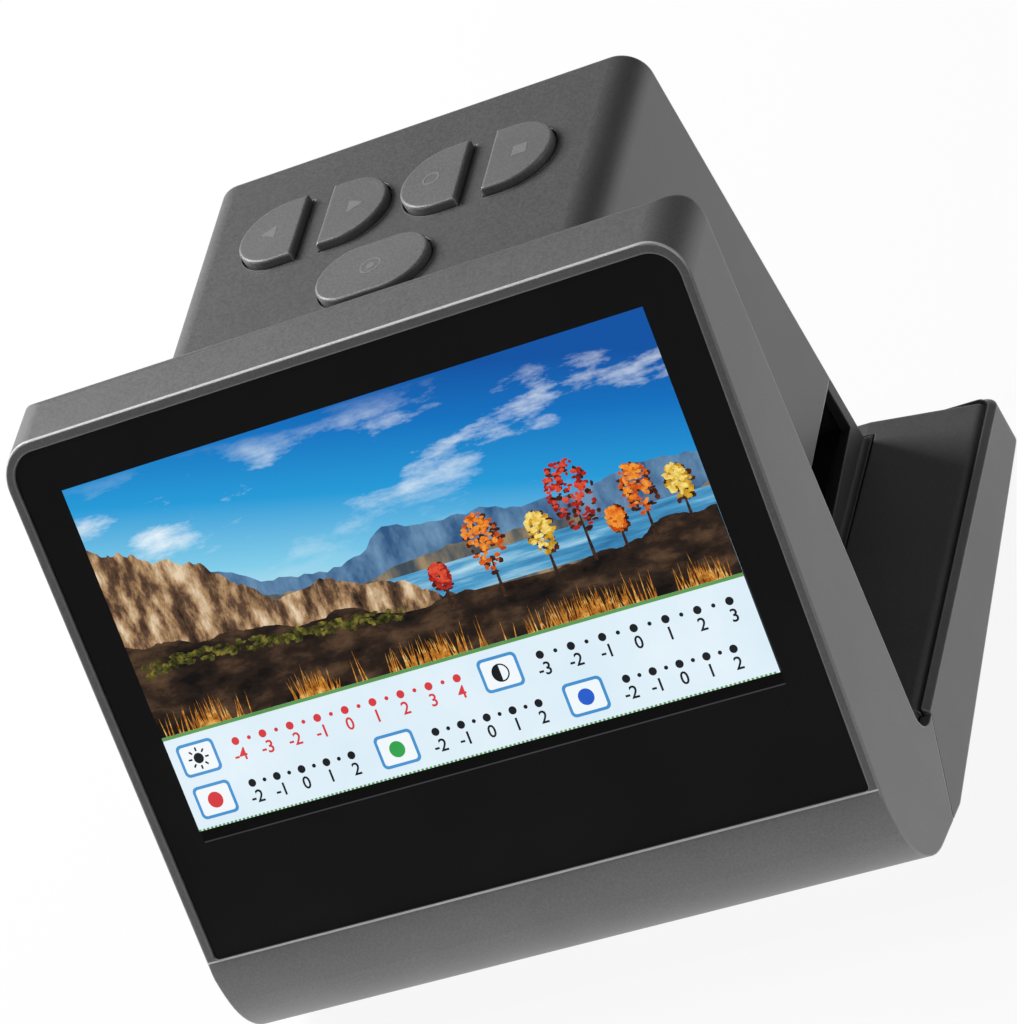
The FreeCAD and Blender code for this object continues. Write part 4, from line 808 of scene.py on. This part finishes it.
# Each layer of a crown: its name, the number of clumps, its shift to the sun and its size, both as
# shares of the whole crown, and its layer on the display.
CROWN_LAYERS = [
    ("shadow", 60, 0.0, 1.0, 6),
    ("leaves", 70, 0.03, 0.95, 7),
    ("sunny", 45, 0.09, 0.78, 8),
]
# A crown starts at this share of its height above the foot.
CROWN_START = 0.3
TRUNK_SUNK = 2
CLUMP_WIDTHS = (0.5, 1.3)
CLUMP_HEIGHTS = (0.4, 1.0)
SHRUBS = 120
SHRUB_ROW = 50
SHRUB_LEVEL, SHRUB_SUMMIT, SHRUB_SLOPE = 53.4, -46, 0.07
SHRUB_WIDTHS = (0.8, 2.4)
SHRUB_HEIGHTS = (0.5, 1.3)
# Each stretch of grass: its middle, its reach and its number of blades.
GRASS = [(-46, 8, 70), (-24, 6, 60), (-2, 9, 110), (28, 12, 150), (49, 5, 60)]
BLADE_HEIGHTS = (1.2, 4.4)
BLADE_LEANS = (-0.7, 0.7)

chance = random.Random(12)
for number, (x, foot, width, height, shade) in enumerate(TREES):
    middle = foot + CROWN_START * height + height / 2
    for (part, count, shift, share, layer), material in zip(CROWN_LAYERS, lit_leaves[shade]):
        crown_x, crown_y = x - shift * width, middle + shift * height
        clumps = [
            clump(a, b, chance.uniform(*CLUMP_WIDTHS), chance.uniform(*CLUMP_HEIGHTS), chance)
            for a, b in scattered(crown_x, crown_y, width * share, height * share, count, chance)
        ]
        on_display(f"screen_tree_{number}_{part}", clumps, layer, material)
trunks = [trunk(x, foot - TRUNK_SUNK, foot + height / 2) for x, foot, _, height, _ in TREES]
on_display("screen_tree_trunks", trunks, 6, lit_bark)
shrubs = []
for step in range(SHRUBS):
    x = LEFT + 2 + SHRUB_ROW * step / SHRUBS
    y = SHRUB_LEVEL - SHRUB_SLOPE * abs(x - SHRUB_SUMMIT) + chance.uniform(-1.0, 1.0)
    shrubs.append(clump(x, y, chance.uniform(*SHRUB_WIDTHS), chance.uniform(*SHRUB_HEIGHTS), chance))
on_display("screen_shrubs", shrubs, 6, lit_shrub)
blades = []
for middle, reach, count in GRASS:
    for _ in range(count):
        x = chance.gauss(middle, reach / 2)
        if LEFT + 1 < x < RIGHT - 1:
            height = chance.uniform(*BLADE_HEIGHTS) + 2 * chance.random() ** 4
            blades.append(blade(x, BAR_HEAD - 0.2, height, chance.uniform(*BLADE_LEANS)))
on_display("screen_grass", blades, 9, lit_grass)
print("trees:", len(TREES), "shrubs:", len(shrubs), "blades:", len(blades))

# %% [markdown]
# ## The setting bar
# Under the landscape the display shows a pale bar with five scales. Brightness
# and contrast have long ones in the upper row, and red, green and blue share
# the lower row. Each scale has a framed sign, dots and plain numbers. A sign
# could be a word, but a sun, a half dark disc and three colour discs are read
# in any language. The bar lies over the foot of the landscape, so its layers
# come last. A dark gap and a thin line below it end the lit panel.

# %% Outlines of signs


def rounded(x, y, width, height, radius, steps=6):
    """A rectangle about a middle, with round corners."""
    outline = []
    for corner, (a, b) in enumerate(((1, 1), (-1, 1), (-1, -1), (1, -1))):
        for i in range(steps + 1):
            turn = math.pi / 2 * (corner + i / steps)
            outline.append((
                x + a * (width / 2 - radius) + radius * math.cos(turn),
                y + b * (height / 2 - radius) + radius * math.sin(turn),
            ))
    return outline


def disc(x, y, radius, sides=24):
    """A round outline."""
    return [
        (x + radius * math.cos(2 * math.pi * i / sides), y + radius * math.sin(2 * math.pi * i / sides))
        for i in range(sides)
    ]


def ray(x, y, start, end, turn, half=0.16):
    """A short bar that points away from a middle."""
    along = (math.cos(turn), math.sin(turn))
    side = (-half * along[1], half * along[0])
    return [
        (x + start * along[0] - side[0], y + start * along[1] - side[1]),
        (x + end * along[0] - side[0], y + end * along[1] - side[1]),
        (x + end * along[0] + side[0], y + end * along[1] + side[1]),
        (x + start * along[0] + side[0], y + start * along[1] + side[1]),
    ]


def ring_pieces(radius, width, x=0, y=0, sides=32):
    """A ring about a middle as a row of short plates."""
    pieces = []
    for i in range(sides):
        a, b = 2 * math.pi * i / sides, 2 * math.pi * (i + 1) / sides
        pieces.append([
            (x + reach * math.cos(turn), y + reach * math.sin(turn))
            for reach, turn in ((radius, a), (radius + width, a), (radius + width, b), (radius, b))
        ])
    return pieces


print("points around a disc:", len(disc(0, 0, 1)), "plates in a ring:", len(ring_pieces(1, 1)))

# %% Colours of the bar
# Print on a display is even, so its noise is slow and its two tones are close.
EVEN_GRAIN = 20


def plain_lit(name, shade, middle):
    """A lit colour that is almost even, for the bar's graphics."""
    return lit_layer(name, [(0.3, shade), (0.7, middle)], EVEN_GRAIN)


lit_bar = plain_lit("lit_bar", "#d9ecf7", "#e6f3fb")
lit_bar_line = plain_lit("lit_bar_line", "#4f8c45", "#6ba35c")
lit_blue = plain_lit("lit_blue", "#3f8dcb", "#549bd4")
lit_paper = plain_lit("lit_paper", "#eef6fb", "#f6fafd")
lit_ink = plain_lit("lit_ink", "#15171a", "#1f2226")
lit_red_ink = plain_lit("lit_red_ink", "#cf3438", "#da4448")
lit_green_ink = plain_lit("lit_green_ink", "#2f9a48", "#3fae58")
lit_blue_ink = plain_lit("lit_blue_ink", "#2457c4", "#356bd6")
dark_gap = plain_lit("dark_gap_below_picture", "#000000", "#020202")
dark_line = plain_lit("dark_line_below_picture", "#343437", "#3e3e41")
print("lit materials:", len([m for m in bpy.data.materials if m.name.startswith("lit_")]))

# %% Bar, frames and signs
BAR_ROWS = (36.0, 28.2)
TOP_SIGNS = (-50.3, 8.6)
LOW_SIGNS = (-50.3, -14.4, 21.5)
FRAME_WIDTH = 7.4
FRAME_HEIGHT = 6.0
FRAME_LINE = 0.55
FRAME_CORNER, PAPER_CORNER = 1.0, 0.6
BAR_LINE = 0.6
DASH_PITCH, DASH_LENGTH, DASH_HEIGHT = 0.8, 0.45, 0.3
GAP_FOOT = PICTURE_FOOT - 2.0
GAP_LINE = 0.25
SUN_RADIUS = 0.95
SUN_RAYS = 8
RAY_START, RAY_END = 1.3, 2.0
HALF_RADIUS = 1.6
HALF_LINE = 0.25
COLOUR_RADIUS = 1.45

on_display("screen_bar", [rectangle(LEFT, PICTURE_FOOT, RIGHT, BAR_HEAD)], 10, lit_bar)
dashes = [
    rectangle(x, PICTURE_FOOT, x + DASH_LENGTH, PICTURE_FOOT + DASH_HEIGHT)
    for x in [LEFT + DASH_PITCH * i for i in range(int((RIGHT - LEFT) / DASH_PITCH))]
]
bar_lines = [rectangle(LEFT, BAR_HEAD - BAR_LINE, RIGHT, BAR_HEAD)] + dashes
on_display("screen_bar_line", bar_lines, 11, lit_bar_line)
on_display("screen_gap", [rectangle(LEFT, GAP_FOOT, RIGHT, PICTURE_FOOT)], 0, dark_gap)
on_display("screen_gap_line", [rectangle(LEFT, GAP_FOOT - GAP_LINE, RIGHT, GAP_FOOT)], 0, dark_line)
sign_spots = [(x, BAR_ROWS[0]) for x in TOP_SIGNS] + [(x, BAR_ROWS[1]) for x in LOW_SIGNS]
frames = [rounded(x, y, FRAME_WIDTH, FRAME_HEIGHT, FRAME_CORNER) for x, y in sign_spots]
papers = [
    rounded(x, y, FRAME_WIDTH - 2 * FRAME_LINE, FRAME_HEIGHT - 2 * FRAME_LINE, PAPER_CORNER)
    for x, y in sign_spots
]
on_display("screen_sign_frames", frames, 11, lit_blue)
on_display("screen_sign_papers", papers, 12, lit_paper)
(sun_x, sun_y), (half_x, half_y), *colour_spots = sign_spots
sun = [disc(sun_x, sun_y, SUN_RADIUS)]
sun += [ray(sun_x, sun_y, RAY_START, RAY_END, 2 * math.pi * i / SUN_RAYS) for i in range(SUN_RAYS)]
on_display("screen_sign_sun", sun, 13, lit_ink)
half = [(x, y) for x, y in disc(half_x, half_y, HALF_RADIUS, 32) if x <= half_x + 0.01]
half_ring = ring_pieces(HALF_RADIUS - HALF_LINE, HALF_LINE, half_x, half_y)
on_display("screen_sign_contrast", [half] + half_ring, 13, lit_ink)
inks = {"red": lit_red_ink, "green": lit_green_ink, "blue": lit_blue_ink}
for (name, ink), spot in zip(inks.items(), colour_spots):
    on_display(f"screen_sign_{name}", [disc(*spot, COLOUR_RADIUS)], 13, ink)
print("sign frames:", len(frames), "dashes:", len(dashes))

# %% [markdown]
# ## Dots and numbers
# A scale on the bar runs from minus to plus, with a large dot and a number at
# each step and a small dot between. Each digit could be drawn from outlines,
# but Blender's own text curve has good ones. The curve gets a thickness and is
# turned into a mesh, and all numbers of one colour are joined.

# %% Scales
SCALE_START = 7.8
BRIGHTNESS_PITCH = 5.4
CONTRAST_PITCH = 5.8
COLOUR_PITCH = 4.9
DOT_RISE, DOT_RADIUS, SMALL_DOT_RADIUS = 1.1, 0.72, 0.36
NUMBER_DROP = 1.5
NUMBER_HEIGHT = 2.2
NUMBER_WEIGHT = 0.04
# A digit is this share of its font size high.
DIGIT_SHARE = 0.7
NUMBER_FOOT = WINDOW_FRONT + 11 * LAYER


def digits_mesh(name, words, low, high):
    """One mesh of all the given words (text, x, y), in millimetres."""
    work = bmesh.new()
    for text, x, y in words:
        curve = bpy.data.curves.new(name, "FONT")
        curve.body = text
        curve.align_x = "CENTER"
        curve.align_y = "CENTER"
        curve.size = NUMBER_HEIGHT * MM / DIGIT_SHARE
        curve.extrude = (high - low) / 2 * MM
        curve.offset = NUMBER_WEIGHT * MM
        curve.resolution_u = 3
        carrier = bpy.data.objects.new(name, curve)
        drawn = bpy.data.meshes.new_from_object(carrier)
        drawn.transform(Matrix.Translation(Vector((x, y, (low + high) / 2)) * MM))
        work.from_mesh(drawn)
        bpy.data.objects.remove(carrier)
        bpy.data.curves.remove(curve)
        bpy.data.meshes.remove(drawn)
    mesh = bpy.data.meshes.new(name)
    work.to_mesh(mesh)
    work.free()
    return mesh


def scale_marks(start, row, pitch, reach):
    """The dots and the numbers of one scale, from minus to plus a reach."""
    dots, words = [], []
    for i in range(2 * reach + 1):
        x = start + SCALE_START + pitch * i
        dots.append(disc(x, BAR_ROWS[row] + DOT_RISE, DOT_RADIUS))
        if i < 2 * reach:
            dots.append(disc(x + pitch / 2, BAR_ROWS[row] + DOT_RISE, SMALL_DOT_RADIUS))
        words.append((str(i - reach), x, BAR_ROWS[row] - NUMBER_DROP))
    return dots, words


red_dots, red_words = scale_marks(TOP_SIGNS[0], 0, BRIGHTNESS_PITCH, 4)
dark_dots, dark_words = scale_marks(TOP_SIGNS[1], 0, CONTRAST_PITCH, 3)
for start in LOW_SIGNS:
    dots, words = scale_marks(start, 1, COLOUR_PITCH, 2)
    dark_dots += dots
    dark_words += words
on_display("screen_red_dots", red_dots, 11, lit_red_ink)
on_display("screen_dark_dots", dark_dots, 11, lit_ink)
for name, words, ink in (
    ("screen_red_numbers", red_words, lit_red_ink),
    ("screen_dark_numbers", dark_words, lit_ink),
):
    mesh = digits_mesh(name, words, NUMBER_FOOT, NUMBER_FOOT + LAYER)
    new_piece(name, mesh, ink, display_frame, "scanner_body")
print("dots:", len(red_dots) + len(dark_dots), "numbers:", len(red_words) + len(dark_words))

# %% [markdown]
# ## Signs on the keys
# The real keys carry small marks in an ink only a little lighter than the
# plastic. Here they are plain signs: two arrows, a ring, a square, and a ring
# with a dot on the long key. They could be drawn by the key's material, but a
# thin printed film rides on its key as a piece of its own, stays sharp, and
# goes down with the key.

# %% Key signs
INK_FILM = 0.03
INK_SPECKS = 0.5 * MM
ARROW = [(1.4, 1.8), (-1.7, 0.0), (1.4, -1.8)]
SIGNS = {
    "key_outer_left": [ARROW],
    "key_inner_left": [[(-x, y) for x, y in reversed(ARROW)]],
    "key_inner_right": ring_pieces(1.3, 0.4),
    "key_outer_right": [rectangle(-1.4, -1.4, 1.4, 1.4)],
    "key_long_front": [disc(0, 0, 0.8)] + ring_pieces(1.7, 0.35),
}


def ink_print():
    """Pad printing ink, slightly lighter than the key and satin."""
    material, tree, spot = new_material("pad_print_grey_ink")
    wear = add(tree, "TexNoise", {"Vector": spot, "Scale": 1 / INK_SPECKS, "Detail": 3.0})
    colour = colour_steps(tree, wear.outputs["Fac"], [(0.35, "#858586"), (0.65, "#919192")])
    shader = add(tree, "BsdfPrincipled", {"Base Color": colour, "Roughness": 0.4, "IOR": 1.5})
    finish_material(tree, shader.outputs["BSDF"])
    return material


key_ink = ink_print()
for key, outlines in SIGNS.items():
    low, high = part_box(key)
    middle = Vector(((low.x + high.x) / 2, (low.y + high.y) / 2, high.z))
    mesh = plates_mesh(f"{key}_sign", outlines, 0, INK_FILM)
    sign = new_piece(f"{key}_sign", mesh, key_ink, Matrix.Translation(middle), f"{key}_body")
print("key signs:", len(SIGNS))

# %% [markdown]
# ## Floor and air
# The scanner stands on a pale painted board over a light table, in a room with
# grey air. The background is white because rays from the camera, and rays
# mirrored in gloss, find plain white there. It could be made white by stronger
# lamps, but then the object would be lit more than its colours can bear. A
# small share of the board stays plain paint for the camera, and keeps the
# object's shadow. Around its feet the board glows for all other rays, as a
# light table does, and so it lights the lower edges.

# %% Floor
ROLLER_SPECKS = 1.2 * MM
# To the camera the board is pure white by this share and paint by the rest.
WHITE_SHARE = 0.91
TABLE_LEVEL = 1.0
# The table's glow is full up to the first distance from the middle and gone at the second.
TABLE_GLOW = (90 * MM, 280 * MM)
FLOOR_REACH = 4000
FLOOR_DEPTH = 20
WHITE = light_of("#ffffff")


def pale_floor():
    """A painted board, pale and matt, that fades to white for the camera and keeps the shadow."""
    material, tree, spot = new_material("painted_board_pale")
    roller = add(tree, "TexNoise", {"Vector": spot, "Scale": 1 / ROLLER_SPECKS, "Detail": 2.0})
    colour = colour_steps(tree, roller.outputs["Fac"], [(0.3, "#eeeeee"), (0.7, "#f4f4f4")])
    paint = add(tree, "BsdfDiffuse", {"Color": colour})
    white = add(tree, "Emission", {"Color": WHITE, "Strength": 1.0})
    rays = add(tree, "LightPath").outputs
    seen = add(tree, "Math", {0: rays["Is Camera Ray"], 1: rays["Is Glossy Ray"]}, operation="MAXIMUM")
    seen = add(tree, "Math", {0: seen.outputs["Value"], 1: rays["Is Transmission Ray"]}, operation="MAXIMUM")
    seen = seen.outputs["Value"]
    share = add(tree, "Math", {0: seen, 1: WHITE_SHARE}, operation="MULTIPLY").outputs["Value"]
    unseen = add(tree, "Math", {0: 1.0, 1: seen}, operation="SUBTRACT").outputs["Value"]
    glow = add(tree, "MapRange", {
        "Value": add(tree, "VectorMath", {0: spot}, operation="LENGTH").outputs["Value"],
        "From Min": TABLE_GLOW[0],
        "From Max": TABLE_GLOW[1],
        "To Min": TABLE_LEVEL,
        "To Max": 0.0,
    })
    level = add(tree, "Math", {0: glow.outputs["Result"], 1: unseen}, operation="MULTIPLY")
    table = add(tree, "Emission", {"Color": WHITE, "Strength": level.outputs["Value"]})
    lit = add(tree, "AddShader", {0: paint.outputs["BSDF"], 1: table.outputs["Emission"]})
    mixed = add(tree, "MixShader", {0: share, 1: lit.outputs["Shader"], 2: white.outputs["Emission"]})
    finish_material(tree, mixed.outputs["Shader"])
    return material


board = [rectangle(-FLOOR_REACH, -FLOOR_REACH, FLOOR_REACH, FLOOR_REACH)]
floor_mesh = plates_mesh("floor", board, -FLOOR_DEPTH, 0)
floor_mesh.materials.append(pale_floor())
floor = bpy.data.objects.new("floor", floor_mesh)
bpy.context.scene.collection.objects.link(floor)
print("floor:", 2 * FLOOR_REACH, "mm wide, its top at z = 0")

# %% Air
AIR_LEVEL = 0.12
world = bpy.data.worlds.new("studio_air")
bpy.context.scene.world = world
world.use_nodes = True
air = world.node_tree
air.nodes.clear()
rays = add(air, "LightPath").outputs
seen = add(air, "Math", {0: rays["Is Camera Ray"], 1: rays["Is Transmission Ray"]}, operation="MAXIMUM")
grey = add(air, "Background", {"Color": WHITE, "Strength": AIR_LEVEL}).outputs["Background"]
white = add(air, "Background", {"Color": WHITE, "Strength": 1.0}).outputs["Background"]
both = add(air, "MixShader", {0: seen.outputs["Value"], 1: grey, 2: white})
add(air, "OutputWorld", {"Surface": both.outputs["Shader"]})
bpy.context.scene.view_settings.view_transform = "Standard"
print("air at level", AIR_LEVEL)

# %% [markdown]
# ## Lamps
# A photographer's soft boxes are square area lamps here. One large lamp stands
# behind on the left and lights the tops and the left sides. A small one hangs
# overhead and glints on the slab's edges, where bright lines of painted highlight
# are also mixed into the colour. A weak low one on the right lifts the right
# side. One lamp would give a harder picture, with the right side in the dark.

# %% Lamps around the scanner
LAMP_TARGET = Vector((0, 0, 50)) * MM
# Each lamp: its name, its place in metres, the side of its square in metres and its power in watts.
LAMPS = [
    ("lamp_left", (-0.76, 0.32, 0.68), 0.5, 12.0),
    ("lamp_overhead", (-0.48, -0.16, 0.98), 0.12, 1.8),
    ("lamp_right", (1.05, -0.16, 0.06), 0.25, 1.6),
]
for name, spot, size, power in LAMPS:
    light = bpy.data.lights.new(name, "AREA")
    light.shape = "SQUARE"
    light.size = size
    light.energy = power
    lamp = bpy.data.objects.new(name, light)
    aim = LAMP_TARGET - Vector(spot)
    lamp.matrix_world = Matrix.Translation(spot) @ aim.to_track_quat("-Z", "Y").to_matrix().to_4x4()
    bpy.context.scene.collection.objects.link(lamp)
print("lamps:", [name for name, *_ in LAMPS])
